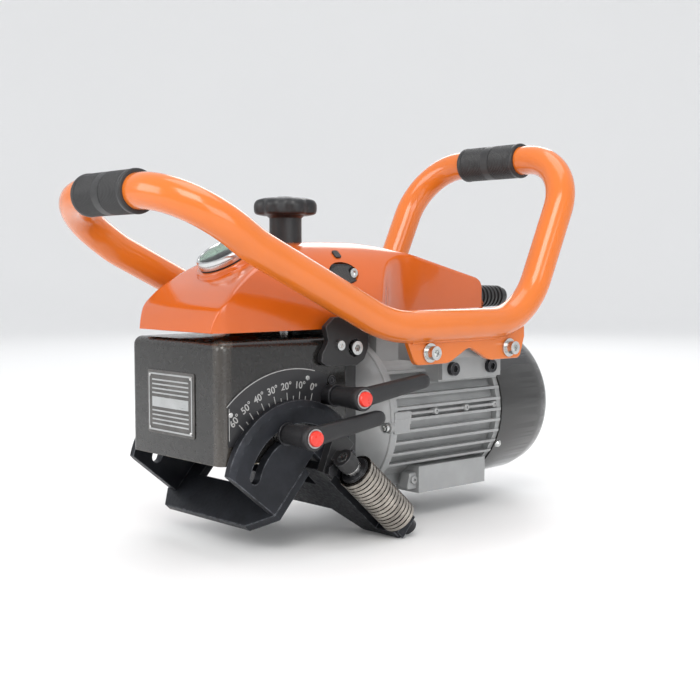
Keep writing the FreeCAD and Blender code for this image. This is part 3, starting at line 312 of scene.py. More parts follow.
def finished_object(name, mesh, sharp):
    """Joins doubled points, turns the faces outwards and keeps edges steeper than sharp hard."""
    work = bmesh.new()
    work.from_mesh(mesh)
    bmesh.ops.remove_doubles(work, verts=work.verts, dist=2e-6)
    bmesh.ops.dissolve_degenerate(work, edges=work.edges, dist=1e-6)
    bmesh.ops.recalc_face_normals(work, faces=work.faces)
    work.to_mesh(mesh)
    work.free()
    mesh.shade_smooth()
    mesh.set_sharp_from_angle(angle=math.radians(sharp))
    piece = bpy.data.objects.new(name, mesh)
    bpy.context.scene.collection.objects.link(piece)
    return piece


def settle(piece, material, *nodes, stands_for=True):
    """Gives a piece its finish and its body, and hides the nodes that it stands for."""
    piece.data.materials.clear()
    piece.data.materials.append(material)
    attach(piece, BODY_OF[nodes[0]])
    if stands_for:
        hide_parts(*nodes)
    return piece


def refined(node, width=None, segments=2, sharp=32.0, looks=None):
    """A merged copy of a node with its flats joined and its edges broken by a small round. It has
    the node's own finish, unless another is given."""
    source = frame["nodes"][node]
    mesh = source.data.copy()
    mesh.name = node + "_body"
    work = bmesh.new()
    work.from_mesh(mesh)
    bmesh.ops.remove_doubles(work, verts=work.verts, dist=4e-6)
    bmesh.ops.dissolve_limit(
        work, angle_limit=math.radians(0.6), verts=work.verts, edges=work.edges, use_dissolve_boundaries=False
    )
    work.to_mesh(mesh)
    work.free()
    mesh.shade_smooth()
    mesh.set_sharp_from_angle(angle=math.radians(sharp))
    piece = bpy.data.objects.new(node + "_body", mesh)
    bpy.context.scene.collection.objects.link(piece)
    bevel = piece.modifiers.new("broken edges", "BEVEL")
    bevel.width = (mm("edge_round") if width is None else width) * MM
    bevel.segments = segments
    bevel.limit_method = "ANGLE"
    bevel.angle_limit = math.radians(sharp)
    bevel.harden_normals = True
    settle(piece, finish_for(node) if looks is None else finish(looks), node)
    return piece


# ---------------------------------------------------------------- finishes

def shader(name):
    """A new material, its node tree and its one surface node."""
    material = bpy.data.materials.new(name)
    material.use_nodes = True
    tree = material.node_tree
    tree.nodes.clear()
    output = tree.nodes.new("ShaderNodeOutputMaterial")
    surface = tree.nodes.new("ShaderNodeBsdfPrincipled")
    tree.links.new(surface.outputs["BSDF"], output.inputs["Surface"])
    return material, tree, surface


def noise(tree, scale, detail=3.0, stretch=(1.0, 1.0, 1.0)):
    """Noise over the object's own coordinates, stretched along its three axes."""
    place = tree.nodes.new("ShaderNodeTexCoord")
    mapping = tree.nodes.new("ShaderNodeMapping")
    mapping.inputs["Scale"].default_value = stretch
    texture = tree.nodes.new("ShaderNodeTexNoise")
    texture.inputs["Scale"].default_value = scale
    texture.inputs["Detail"].default_value = detail
    tree.links.new(place.outputs["Object"], mapping.inputs["Vector"])
    tree.links.new(mapping.outputs["Vector"], texture.inputs["Vector"])
    return texture.outputs["Fac"]


def spread(tree, value, low, high, first, last):
    """A value mapped from low..high to first..last and held at the ends."""
    node = tree.nodes.new("ShaderNodeMapRange")
    node.inputs["From Min"].default_value = low
    node.inputs["From Max"].default_value = high
    node.inputs["To Min"].default_value = first
    node.inputs["To Max"].default_value = last
    tree.links.new(value, node.inputs["Value"])
    return node.outputs["Result"]


def product(tree, first, second):
    """Two values multiplied."""
    node = tree.nodes.new("ShaderNodeMath")
    node.operation = "MULTIPLY"
    tree.links.new(first, node.inputs[0])
    tree.links.new(second, node.inputs[1])
    return node.outputs["Value"]


def mixed(tree, share, first, second):
    """A colour between first and second, each a colour or a socket."""
    node = tree.nodes.new("ShaderNodeMix")
    node.data_type = "RGBA"
    tree.links.new(share, node.inputs[0])
    for value, socket in ((first, node.inputs[6]), (second, node.inputs[7])):
        if isinstance(value, bpy.types.NodeSocket):
            tree.links.new(value, socket)
        else:
            socket.default_value = (*value, 1.0)
    return node.outputs[2]


def blended(tree, share, first, second):
    """A number between first and second, each a number or a socket."""
    node = tree.nodes.new("ShaderNodeMix")
    tree.links.new(share, node.inputs[0])
    for value, socket in ((first, node.inputs[2]), (second, node.inputs[3])):
        if isinstance(value, bpy.types.NodeSocket):
            tree.links.new(value, socket)
        else:
            socket.default_value = value
    return node.outputs[0]


def edge_share(tree, radius, patch_scale):
    """One on rubbed edges: where the rounded normal leaves the true one, broken up by noise."""
    rounded = tree.nodes.new("ShaderNodeBevel")
    rounded.samples = 6
    rounded.inputs["Radius"].default_value = radius * MM
    true = tree.nodes.new("ShaderNodeNewGeometry")
    agree = tree.nodes.new("ShaderNodeVectorMath")
    agree.operation = "DOT_PRODUCT"
    tree.links.new(rounded.outputs["Normal"], agree.inputs[0])
    tree.links.new(true.outputs["Normal"], agree.inputs[1])
    worn = spread(tree, agree.outputs["Value"], 0.995, 0.90, 0.0, 1.0)
    return product(tree, worn, spread(tree, noise(tree, patch_scale, 4.0), 0.38, 0.62, 0.15, 1.0))


def axis_distance(tree, start, axis):
    """The distance of each point from a line: the length of its cross product with the line's direction."""
    place = tree.nodes.new("ShaderNodeTexCoord")
    offset = tree.nodes.new("ShaderNodeVectorMath")
    offset.operation = "SUBTRACT"
    offset.inputs[1].default_value = to_frame(start)
    turned = tree.nodes.new("ShaderNodeVectorMath")
    turned.operation = "CROSS_PRODUCT"
    turned.inputs[1].default_value = unit(axis)
    length = tree.nodes.new("ShaderNodeVectorMath")
    length.operation = "LENGTH"
    tree.links.new(place.outputs["Object"], offset.inputs[0])
    tree.links.new(offset.outputs["Vector"], turned.inputs[0])
    tree.links.new(turned.outputs["Vector"], length.inputs[0])
    return length.outputs["Value"]


def relief(tree, surface, height, strength, distance=0.2):
    """A fine bump on the surface, raised where the height value is high."""
    bump = tree.nodes.new("ShaderNodeBump")
    bump.inputs["Strength"].default_value = strength
    bump.inputs["Distance"].default_value = distance * MM
    tree.links.new(height, bump.inputs["Height"])
    tree.links.new(bump.outputs["Normal"], surface.inputs["Normal"])


def coating(name, colour, shade=0.82, rough=(0.3, 0.4), grain=700.0, bump=0.12, coat=0.0, blotch=18.0,
            stretch=(1.0, 1.0, 1.0), metallic=0.0, lift=1.0, worn=None, worn_rough=0.32, worn_radius=1.4,
            patch=160.0):
    """A paint, plastic or bare metal: a slow change of colour, a finer change of gloss, a fine
    grain in relief and, where worn is given, rubbed edges of that colour. A colour in words is
    read from the settings and multiplied by lift."""
    material, tree, surface = shader(name)
    if isinstance(colour, str):
        colour = tuple(lift * value for value in getattr(colours(), colour))
    darker = tuple(shade * value for value in colour)
    slow = spread(tree, noise(tree, blotch, 5.0), 0.32, 0.68, 0.0, 1.0)
    base = mixed(tree, slow, darker, tuple(colour))
    gloss = spread(tree, noise(tree, grain * 0.22, 4.0, stretch), 0.3, 0.7, rough[0], rough[1])
    surface.inputs["Metallic"].default_value = metallic
    if worn is not None:
        share = edge_share(tree, worn_radius, patch)
        base = mixed(tree, share, base, worn)
        gloss = blended(tree, share, gloss, worn_rough)
        if metallic < 0.5:
            tree.links.new(share, surface.inputs["Metallic"])
    tree.links.new(base, surface.inputs["Base Color"])
    tree.links.new(gloss, surface.inputs["Roughness"])
    relief(tree, surface, noise(tree, grain, 3.0, stretch), bump)
    if coat:
        surface.inputs["Coat Weight"].default_value = coat
        surface.inputs["Coat Roughness"].default_value = 0.06
    return material


# The values that each finish gives to coating(). A colour in words is one of the colour settings.
COATINGS = {
    "cover_gloss": dict(
        colour="cover", shade=0.9, rough=(0.12, 0.20), grain=160.0, bump=0.02, coat=0.55, blotch=9.0),
    "handle_coat": dict(
        colour="handle", shade=0.92, rough=(0.16, 0.24), grain=260.0, bump=0.03, coat=0.4, blotch=12.0),
    "guard_paint": dict(
        colour="guard", shade=0.6, rough=(0.20, 0.32), grain=700.0, bump=0.06, coat=0.35, blotch=20.0,
        worn=(0.16, 0.15, 0.13), worn_rough=0.30, worn_radius=1.6, patch=90.0),
    "guide_phosphate": dict(
        colour="guide", shade=0.55, rough=(0.34, 0.56), grain=1500.0, bump=0.30, blotch=55.0, metallic=0.55,
        worn=(0.20, 0.21, 0.23), worn_rough=0.36, worn_radius=1.6, patch=220.0),
    "motor_paint": dict(
        colour="motor", shade=0.84, rough=(0.30, 0.46), grain=520.0, bump=0.22, coat=0.2, blotch=30.0,
        worn=(0.50, 0.50, 0.49), worn_rough=0.35, worn_radius=0.9, patch=240.0),
    "sheet_black": dict(
        colour=(0.010, 0.0095, 0.009), shade=0.75, rough=(0.16, 0.24), grain=260.0, bump=0.03, coat=0.6,
        blotch=8.0),
    "plastic_black": dict(
        colour="plastic", shade=0.75, rough=(0.36, 0.48), grain=1900.0, bump=0.22, blotch=40.0),
    "lever_black": dict(
        colour="plastic", lift=1.5, shade=0.8, rough=(0.42, 0.52), grain=2400.0, bump=0.30, blotch=60.0),
    "rubber_black": dict(
        colour=(0.024, 0.024, 0.025), shade=0.7, rough=(0.36, 0.50), grain=2600.0, bump=0.25, blotch=70.0),
    "turned_steel": dict(
        colour=(0.50, 0.46, 0.41), shade=0.5, rough=(0.16, 0.32), grain=1200.0, bump=0.12, blotch=70.0,
        metallic=1.0),
    "bright_steel": dict(
        colour=(0.62, 0.62, 0.61), shade=0.8, rough=(0.18, 0.32), grain=1400.0, bump=0.12, blotch=120.0,
        metallic=1.0),
    "zinc_plate": dict(
        colour=(0.70, 0.71, 0.70), shade=0.78, rough=(0.16, 0.30), grain=1100.0, bump=0.10, blotch=130.0,
        metallic=1.0),
    "black_oxide": dict(
        colour=(0.055, 0.055, 0.06), shade=0.6, rough=(0.28, 0.42), grain=1300.0, bump=0.15, blotch=140.0,
        metallic=0.8, worn=(0.42, 0.42, 0.42), worn_radius=0.5, patch=500.0),
    "arm_paint": dict(
        colour=(0.020, 0.020, 0.021), shade=0.7, rough=(0.34, 0.48), grain=1200.0, bump=0.2, blotch=60.0,
        worn=(0.25, 0.25, 0.26), worn_radius=1.0, patch=260.0),
    "chrome_ring": dict(
        colour=(0.66, 0.67, 0.67), shade=0.88, rough=(0.16, 0.26), grain=600.0, bump=0.02, blotch=40.0,
        metallic=1.0),
    "badge_metal": dict(
        colour=(0.52, 0.53, 0.53), shade=0.82, rough=(0.26, 0.40), grain=1500.0, bump=0.15, blotch=60.0,
        metallic=0.9, stretch=(0.15, 1.0, 6.0)),
    "badge_dark": dict(
        colour=(0.13, 0.125, 0.12), shade=0.7, rough=(0.36, 0.50), grain=1800.0, bump=0.25, blotch=90.0,
        metallic=0.5),
    "scale_black": dict(
        colour=(0.014, 0.014, 0.016), shade=0.75, rough=(0.30, 0.40), grain=1000.0, bump=0.08, coat=0.2,
        blotch=30.0),
    "scale_white": dict(
        colour=(0.40, 0.40, 0.39), shade=0.8, rough=(0.4, 0.5), grain=1600.0, bump=0.08, blotch=300.0),
    "red_button": dict(
        colour="button", shade=0.8, rough=(0.24, 0.34), grain=900.0, bump=0.06, coat=0.4, blotch=80.0),
    "bronze": dict(
        colour=(0.55, 0.36, 0.16), shade=0.75, rough=(0.25, 0.4), grain=900.0, bump=0.1, blotch=90.0,
        metallic=1.0),
    "copper_wire": dict(
        colour=(0.50, 0.20, 0.09), shade=0.6, rough=(0.25, 0.4), grain=500.0, bump=0.5, blotch=200.0,
        metallic=0.9, stretch=(1.0, 0.1, 1.0)),
    "core_plates": dict(
        colour=(0.22, 0.22, 0.23), shade=0.6, rough=(0.35, 0.5), grain=900.0, bump=0.4, blotch=60.0,
        metallic=0.9, stretch=(0.1, 8.0, 0.1)),
    "carbide": dict(
        colour=(0.60, 0.46, 0.20), shade=0.8, rough=(0.22, 0.34), grain=900.0, bump=0.1, blotch=200.0,
        metallic=1.0),
    "tool_steel": dict(
        colour=(0.16, 0.16, 0.17), shade=0.7, rough=(0.3, 0.45), grain=1100.0, bump=0.2, blotch=90.0,
        metallic=0.9, worn=(0.5, 0.5, 0.5), worn_radius=0.8, patch=300.0),
    "dial_print": dict(
        colour=(0.50, 0.62, 0.52), shade=0.9, rough=(0.35, 0.45), grain=700.0, bump=0.04, blotch=60.0),
    "floor_matt": dict(
        colour=(0.88, 0.88, 0.875), shade=0.985, rough=(0.5, 0.6), grain=60.0, bump=0.01, blotch=0.8),
}


def coated(name):
    """A finish of the table, with its tree, its surface node and the socket of its colour."""
    material = coating(name, **COATINGS[name])
    tree = material.node_tree
    surface = next(node for node in tree.nodes if node.type == "BSDF_PRINCIPLED")
    return material, tree, surface, surface.inputs["Base Color"].links[0].from_socket


def guard_paint():
    """Satin black. A lighter brown along the round upright front corner on the scale's side is a
    painted sheen, partly rubbed paint.
    """
    material, tree, surface, painted = coated("guard_paint")
    corner = axis_distance(tree, (GUARD_CORNER[0], GUARD_CORNER[1], 0.0), Z_AXIS)
    # The band on the corner's round is a painted sheen, partly rubbed paint: a lighter brown is mixed into
    # the black there.
    near = spread(tree, corner, 7.6 * MM, 9.0 * MM, 1.0, 0.0)
    streaks = noise(tree, 38.0, 5.0, (1.0, 1.0, 0.35))
    sheen_and_rubbing = product(tree, near, spread(tree, streaks, 0.34, 0.70, 0.20, 0.55))
    tree.links.new(mixed(tree, sheen_and_rubbing, painted, (0.115, 0.100, 0.084)), surface.inputs["Base Color"])
    return material


def turned_steel():
    """Turned steel with a brown tint, and shade painted into its grooves: nearer to the roller's axis, the
    colour is dark.
    """
    material, tree, surface, bright = coated("turned_steel")
    # Painted shade: the grooves, nearer to the roller's axis, get a dark colour.
    depth = spread(tree, axis_distance(tree, ROLLER_START, DOWN_GUIDE), 15.3 * MM, 16.5 * MM, 0.0, 1.0)
    tree.links.new(mixed(tree, depth, (0.045, 0.038, 0.032), bright), surface.inputs["Base Color"])
    return material


def gauge_glass():
    """Slightly green clear glass, with smears where it is less smooth."""
    material, tree, surface = shader("gauge_glass")
    surface.inputs["Base Color"].default_value = (0.72, 0.90, 0.80, 1.0)
    surface.inputs["Transmission Weight"].default_value = 1.0
    surface.inputs["IOR"].default_value = 1.45
    smear = spread(tree, noise(tree, 90.0, 5.0), 0.4, 0.75, 0.02, 0.16)
    tree.links.new(smear, surface.inputs["Roughness"])
    return material


OWN_FINISHES = {"guard_paint": guard_paint, "turned_steel": turned_steel, "gauge_glass": gauge_glass}
SLOT_FINISH = {
    "guard_black": "guard_paint", "carriage_steel": "bright_steel", "bearing_bronze": "bronze",
    "screw_black": "black_oxide", "plate_grey": "badge_metal", "rivet_steel": "bright_steel",
    "scale_print": "scale_black", "key_steel": "bright_steel", "stud_steel": "black_oxide",
    "phosphated_steel": "guide_phosphate", "roller_steel": "turned_steel", "arm_black": "arm_paint",
    "orange_cover": "cover_gloss", "motor_silver": "motor_paint", "fan_black": "sheet_black",
    "terminal_grey": "motor_paint", "core_steel": "core_plates", "copper_winding": "copper_wire",
    "shaft_steel": "bright_steel", "bearing_steel": "chrome_ring", "fan_plastic": "plastic_black",
    "cutter_steel": "tool_steel", "carbide_gold": "carbide", "knob_black": "plastic_black",
    "handle_orange": "handle_coat", "grip_rubber": "rubber_black", "bush_rubber": "rubber_black",
    "boot_rubber": "rubber_black", "gland_black": "plastic_black", "insert_black": "rubber_black",
    "bezel_chrome": "chrome_ring", "dial_white": "dial_print", "needle_black": "sheet_black",
    "gauge_glass": "gauge_glass", "lever_black": "lever_black", "button_red": "red_button",
    "zinc_bolt": "zinc_plate", "bracket_black": "arm_paint", "bracket_steel": "core_plates",
}
made_finishes = {}


def finish(name):
    """Each finish is made once and shared."""
    if name not in made_finishes:
        own = OWN_FINISHES.get(name)
        made_finishes[name] = coating(name, **COATINGS[name]) if own is None else own()
    return made_finishes[name]


def finish_for(node):
    """The finish of a node's material slot."""
    return finish(SLOT_FINISH[SLOT_OF[node]])


# ---------------------------------------------------------------- moulded top cover

COVER_BOTTOM = 88.2
TAIL_BOTTOM = 101.0
SKIRT_END = 135.5
COVER_SIDE = [
    (0.5, 88.2), (2, 97), (7, 109), (24, 125.5), (45, 140), (78, 157), (110, 166), (150, 167.5), (193, 167.5),
    (219, 164.2), (247, 158.6), (289, 148.7), (358, 132.5), (364, 128), (364, 101),
]
COVER_PLAN = [
    (54.5, 0), (62, 9), (63.5, 22), (63.5, 186), (60.5, 194), (47.5, 212), (40, 235), (35, 280), (31, 369),
]
COVER_END = [(63.5, 116), (58.5, 131), (48.5, 150), (36.5, 161), (21.5, 167.5)]
COLUMN_Y = 125.0
GAUGE_TILT = math.radians(31.0)
GAUGE_BASE = np.array([0.0, 57.0, 150.0])
GAUGE_AXIS = np.array([0.0, -math.sin(GAUGE_TILT), math.cos(GAUGE_TILT)])
GAUGE_UP = np.array([0.0, math.cos(GAUGE_TILT), math.sin(GAUGE_TILT)])
INSERT_Y, INSERT_Z = 150.5, 138.0
INSERT_HALF = (17.6, 10.0)
SIDE_SCREW_Y = 163.0
SHOULDER_UP = unit([-10.0, 0.0, 19.0])
UPPER_SHOULDER_UP = unit([-12.0, 0.0, 11.0])


def cover_skin(roundness=32.0):
    """Each section is the smooth minimum of half-planes. With turn the angle round the section and
    w, h its half width and height, a point is share * (w cos turn, h sin turn), and share is the
    p-norm minimum of the distances to the wall, to the flat top and to each shoulder facet."""
    station = evenly(eased(COVER_SIDE, 9.0), 200)
    y, height = station[:, 0], np.maximum(station[:, 1] - COVER_BOTTOM, 0.01)
    plan = eased(COVER_PLAN, 11.0)
    half_width = np.interp(y, plan[:, 1], plan[:, 0])
    turn = np.linspace(0.0, np.pi, 161)
    across = half_width[:, None] * np.abs(np.cos(turn))[None, :]
    upward = height[:, None] * np.sin(turn)[None, :]
    inverse = [across / half_width[:, None], upward / height[:, None]]
    corner = np.array(COVER_END, float)
    for first, second in zip(corner[:-1], corner[1:]):
        edge = second - first
        normal = unit([edge[1], -edge[0]])
        reach = normal @ (first - np.array([0.0, COVER_BOTTOM]))
        inverse.append((normal[0] * across + normal[1] * upward) / reach)
    share = np.sum(np.stack(inverse) ** roundness, axis=0) ** (-1.0 / roundness)
    x = share * half_width[:, None] * np.cos(turn)[None, :]
    floor = np.where(y < SKIRT_END, COVER_BOTTOM, TAIL_BOTTOM)[:, None]
    z = np.maximum(COVER_BOTTOM + share * upward, floor)
    return grid(np.stack([x, np.broadcast_to(y[:, None], x.shape), z], axis=-1))


def cut(piece, shapes):
    """Takes closed shapes out of a piece, its modifiers included, and leaves one plain mesh."""
    tool = build("cutter", shapes)
    step = piece.modifiers.new("openings", "BOOLEAN")
    step.operation = "DIFFERENCE"
    step.solver = "EXACT"
    step.object = tool
    step.use_self = True
    made_plain(piece)
    bpy.data.objects.remove(tool)


def made_plain(piece):
    """Replaces a piece's mesh by the result of its modifiers."""
    bpy.context.view_layer.update()
    graph = bpy.context.evaluated_depsgraph_get()
    mesh = bpy.data.meshes.new_from_object(piece.evaluated_get(graph))
    piece.modifiers.clear()
    piece.data = mesh


def wall(piece, thickness):
    """Gives an open skin its thickness, all of it on the inside."""
    solid = piece.modifiers.new("wall", "SOLIDIFY")
    solid.thickness = thickness * MM
    solid.offset = -1.0
    solid.use_even_offset = False


def side_insert():
    """An oval disc in the shoulder's plane. Its face is a row of cosine ribs, and it drops by a smooth
    step to a round seat for the screw; rows run from the middle out, then round the back."""
    reach = np.concatenate([np.linspace(0.0, 1.0, 44), [1.0, 0.0]])
    turn = np.linspace(0.0, 2 * np.pi, 150, endpoint=False)
    along = (INSERT_HALF[0] - 0.5) * reach[:, None] * np.cos(turn)[None, :]
    upward = (INSERT_HALF[1] - 0.3) * reach[:, None] * np.sin(turn)[None, :]
    ribs = 0.5 - 0.5 * np.cos(2 * np.pi * (along + 0.3 * upward) / 3.1)
    inner = np.clip((0.93 - reach) / 0.05, 0.0, 1.0)[:, None]
    seat = np.clip((6.6 - np.hypot(along - (SIDE_SCREW_Y - INSERT_Y), upward)) / 0.8, 0.0, 1.0)
    height = -0.5 - 0.9 * ribs * inner * (1 - seat) - 3.6 * seat
    height[-2:] = -8.0
    outward = np.cross(Y_AXIS, SHOULDER_UP)
    middle = np.array([54.8, INSERT_Y, INSERT_Z])
    in_plane = along[..., None] * Y_AXIS + upward[..., None] * SHOULDER_UP
    return grid(middle + in_plane + height[..., None] * outward, wrap_columns=True)


def side_plug():
    """The small rounded plug above each insert, in the plane of the upper shoulder."""
    outline = eased([(-3.6, -4.6), (3.6, -4.6), (3.6, 4.6), (-3.6, 4.6)], 2.4, closed=True)
    outward = np.cross(Y_AXIS, UPPER_SHOULDER_UP)
    middle = np.array([42.5, 151.0, 155.5]) - 1.6 * outward
    return plate(outline, middle, Y_AXIS, UPPER_SHOULDER_UP, 2.2, 0.4)


class BEVELLER_OT_cover(bpy.types.Operator):
    """The glossy moulded cover with its openings, and the raised collar under the gauge"""

    bl_idname = "beveller.cover"
    bl_label = "Top cover"

    def execute(self, context):
        cover = build("top_cover_shell", [cover_skin()], sharp=50.0)
        wall(cover, mm("cover_wall"))
        openings = [
            lathe([(-20, 0), (-20, 15.4), (20, 15.4), (20, 0)], (0, COLUMN_Y, 167.5), Z_AXIS, 64),
            lathe([(-20, 0), (-20, 16), (20, 16), (20, 0)], GAUGE_BASE, GAUGE_AXIS, 64),
            lathe([(-8, 0), (-8, 11.2), (8, 11.2), (8, 0)], (0, 364, 112), Y_AXIS, 64),
        ]
        turn = np.linspace(0.0, 2 * np.pi, 96, endpoint=False)
        oval = np.column_stack([np.cos(turn), np.sin(turn)]) * INSERT_HALF + (INSERT_Y, INSERT_Z)
        side_opening = plate(oval, X_AXIS * 40.0, Y_AXIS, Z_AXIS, 30.0)
        openings += [side_opening, mirrored(side_opening)]
        cut(cover, openings)
        cover.data.set_sharp_from_angle(angle=math.radians(38))
        settle(cover, finish("cover_gloss"), "top_cover")
        rim = [(-6, 23.2), (-6, 31.0), (-1.2, 29.6), (0.3, 28.6), (0.7, 27.4), (0.7, 24.6), (0.1, 24.0),
               (-1.6, 24.0), (-1.6, 23.2)]
        collar = lathe(rim, GAUGE_BASE, GAUGE_AXIS, 96, closed=True)
        settle(build("gauge_collar", [collar]), finish("cover_gloss"), "top_cover", stands_for=False)
        pair = [side_insert(), mirrored(side_insert()), side_plug(), mirrored(side_plug())]
        settle(build("ribbed_cover_inserts", pair), finish("rubber_black"), "cover_inserts")
        return {"FINISHED"}


# ---------------------------------------------------------------- handle loop

LOOP = [
    (0, -57, 204), (104, -57, 204), (105.5, 8, 160.4), (108, 157, 89.6), (108, 339, 89.6), (108, 418, 257),
    (0, 418, 257),
]
LOOP_RADII = (62.0, 110.0, 120.0, 75.0, 62.0)
PLATE_MID_Y = 258.2
PLATE_X = (105.0, 111.0)


def low_run(path):
    """The points of the loop's level run beside the motor, where the plate is welded on."""
    return path[(path[:, 0] > 90) & (path[:, 1] > 60) & (path[:, 2] < 150)]


def handle_plate(path):
    """The welded plate: a V-notched lower edge, and an upper edge that follows the tube's middle line."""
    mid = PLATE_MID_Y
    low = low_run(path)
    top_y = np.linspace(mid + 79, mid - 81, 18)
    top = np.column_stack([top_y, np.interp(top_y, low[:, 1], low[:, 2]) - 8.0])
    lower = [(mid - 82, 75.4), (mid - 72, 54.5), (mid - 28, 54.5), (mid, 68.5),
             (mid + 28, 54.5), (mid + 73, 54.5), (mid + 80, 75.4)]
    outline = np.vstack([eased(lower, 5.0), top])
    thickness = PLATE_X[1] - PLATE_X[0]
    return plate(outline, X_AXIS * PLATE_X[0], Y_AXIS, Z_AXIS, thickness, 0.8)


def weld_bead(path, side):
    """A small tube laid along the joint between tube and plate; its radius is a sine of the distance."""
    low = low_run(path)
    y = np.linspace(PLATE_MID_Y - 78, PLATE_MID_Y + 76, 240)
    x = np.full_like(y, PLATE_X[0] - 0.3 if side < 0 else PLATE_X[1] + 0.3)
    z = np.interp(y, low[:, 1], low[:, 2]) - 13.7
    line = np.column_stack([x, y, z])
    turn = np.linspace(0.0, 2 * np.pi, 12, endpoint=False)
    radius = (2.0 + 0.22 * np.sin(y * 2.6))[:, None]
    ring = radius[..., None] * (np.cos(turn)[None, :, None] * X_AXIS + np.sin(turn)[None, :, None] * Z_AXIS)
    return grid(line[:, None] + ring, wrap_columns=True, cap_first=True, cap_last=True)


class BEVELLER_OT_handles(bpy.types.Operator):
    """The two halves of the bent tube loop with their welded plates"""

    bl_idname = "beveller.handles"
    bl_label = "Handle loop"

    def execute(self, context):
        path = bent_path(LOOP, LOOP_RADII, 26)
        loop = tube(path, mm("tube_radius"), Z_AXIS)
        half = [loop, handle_plate(path), weld_bead(path, -1), weld_bead(path, 1)]
        right = build("scale_side_handle_loop", half)
        settle(right, finish("handle_coat"), "scale_side_handle")
        left = build("plain_side_handle_loop", [mirrored(shape) for shape in half])
        settle(left, finish("handle_coat"), "plain_side_handle")
        return {"FINISHED"}


def grip(centre):
    """A sleeve whose radius drops in a cosine row of grooves, but not on its middle band and ends."""
    half = mm("grip_half_length")
    along = np.linspace(-half, half, 700)
    groove = (0.5 - 0.5 * np.cos(2 * np.pi * along / mm("rib_pitch"))) ** 1.6
    ribbed = (np.abs(along) > 5.5) & (np.abs(along) < half - 5.0)
    bulge = 0.35 * np.exp(-((np.abs(along) - (half - 2.2)) / 1.6) ** 2)
    rounded = 0.8 * np.clip((np.abs(along) - (half - 0.8)) / 0.8, 0, 1) ** 2
    radius = mm("grip_radius") - mm("rib_depth") * groove * ribbed + bulge - rounded - 0.3
    bore = mm("tube_radius") + 0.05
    profile = np.vstack([[-half, bore], np.column_stack([along, radius]), [half, bore]])
    return lathe(profile, centre, X_AXIS, 64, closed=True)


class BEVELLER_OT_grips(bpy.types.Operator):
    """The ribbed rubber sleeves on the front and rear bars"""

    bl_idname = "beveller.grips"
    bl_label = "Grips"

    def execute(self, context):
        pair = build("handle_grip_sleeves", [grip(LOOP[0]), grip(LOOP[-1])], sharp=70.0)
        settle(pair, finish("rubber_black"), "handle_grips")
        return {"FINISHED"}


# ---------------------------------------------------------------- depth knob and gauge

KNOB_RADIUS = 29.5
KNOB_BOTTOM = 191.0


def knob_head(lobes):
    """The radius at a turn angle is the profile's radius less a cosine scallop, and the scallop
    fades towards the middle with the cube of the profile's radius."""
    corners = [(0, 0), (0, 24), (1.5, 28.6), (5, KNOB_RADIUS), (10.5, KNOB_RADIUS), (14.2, 27.2), (16.3, 20),
               (16.8, 0)]
    profile = evenly(eased(corners, 3.0), 70)
    turn = np.linspace(0.0, 2 * np.pi, 252, endpoint=False)
    dip = (0.5 + 0.5 * np.cos(lobes * (turn - math.radians(12)))) ** 1.7
    fade = (profile[:, 1] / KNOB_RADIUS) ** 3
    radius = profile[:, 1, None] - 3.2 * fade[:, None] * dip[None, :]
    x = radius * np.cos(turn)[None, :]
    y = COLUMN_Y + radius * np.sin(turn)[None, :]
    z = np.broadcast_to(KNOB_BOTTOM + profile[:, :1], x.shape)
    return grid(np.stack([x, y, z], axis=-1), wrap_columns=True)


class BEVELLER_OT_knob(bpy.types.Operator):
    """The lobed depth knob on its column"""

    bl_idname = "beveller.knob"
    bl_label = "Depth knob"

    def execute(self, context):
        foot = (0, COLUMN_Y, 0)
        stem = [(155.5, 6.1), (155.5, 14.4), (156.1, 15), (167.5, 15), (188.5, 15), (190, 16.5), (191.5, 19),
                (191.5, 6.1)]
        column = lathe(stem, foot, Z_AXIS, 72, closed=True)
        cap = lathe([(207.2, 0), (207.2, 8.5), (208.1, 8.2), (208.4, 7.4), (208.5, 0)], foot, Z_AXIS, 64)
        knob = build("lobed_depth_knob", [knob_head(sizes().knob_lobes), column, cap], sharp=40.0)
        settle(knob, finish("plastic_black"), "depth_knob")
        return {"FINISHED"}


DIAL_BASE = GAUGE_BASE + 1.5 * GAUGE_AXIS
DIAL_STEPS = 50


def on_dial(x, up, above):
    """A point on the dial: x to the right, up the slope, above along the gauge's axis."""
    return DIAL_BASE + x * X_AXIS + up * GAUGE_UP + above * GAUGE_AXIS


def dial_tick(angle, inner, outer, width):
    """A bar on the dial that points at its middle."""
    right = math.cos(angle) * X_AXIS - math.sin(angle) * GAUGE_UP
    out = math.sin(angle) * X_AXIS + math.cos(angle) * GAUGE_UP
    outline = np.array([(-width / 2, inner), (width / 2, inner), (width / 2, outer), (-width / 2, outer)])
    return plate(outline, on_dial(0, 0, 2.78), right, out, 0.1, 0.01)


def lettering(text, size, origin, right, up, depth=0.05):
    """A numeral's flat outline given a little depth, centred on a point in the plane of right and up."""
    curve = bpy.data.curves.new("numeral", "FONT")
    curve.body = text
    curve.size = size
    curve.extrude = depth
    curve.offset = 0.012 * size
    curve.align_x = "CENTER"
    curve.align_y = "CENTER"
    holder = bpy.data.objects.new("numeral", curve)
    bpy.context.scene.collection.objects.link(holder)
    bpy.context.view_layer.update()
    graph = bpy.context.evaluated_depsgraph_get()
    mesh = bpy.data.meshes.new_from_object(holder.evaluated_get(graph))
    flat = np.empty(len(mesh.vertices) * 3)
    mesh.vertices.foreach_get("co", flat)
    flat = flat.reshape(-1, 3)
    faces = [list(polygon.vertices) for polygon in mesh.polygons]
    normal = np.cross(right, up)
    points = np.asarray(origin) + flat[:, :1] * right + flat[:, 1:2] * up + flat[:, 2:3] * normal
    bpy.data.objects.remove(holder)
    bpy.data.curves.remove(curve)
    bpy.data.meshes.remove(mesh)
    return points, faces


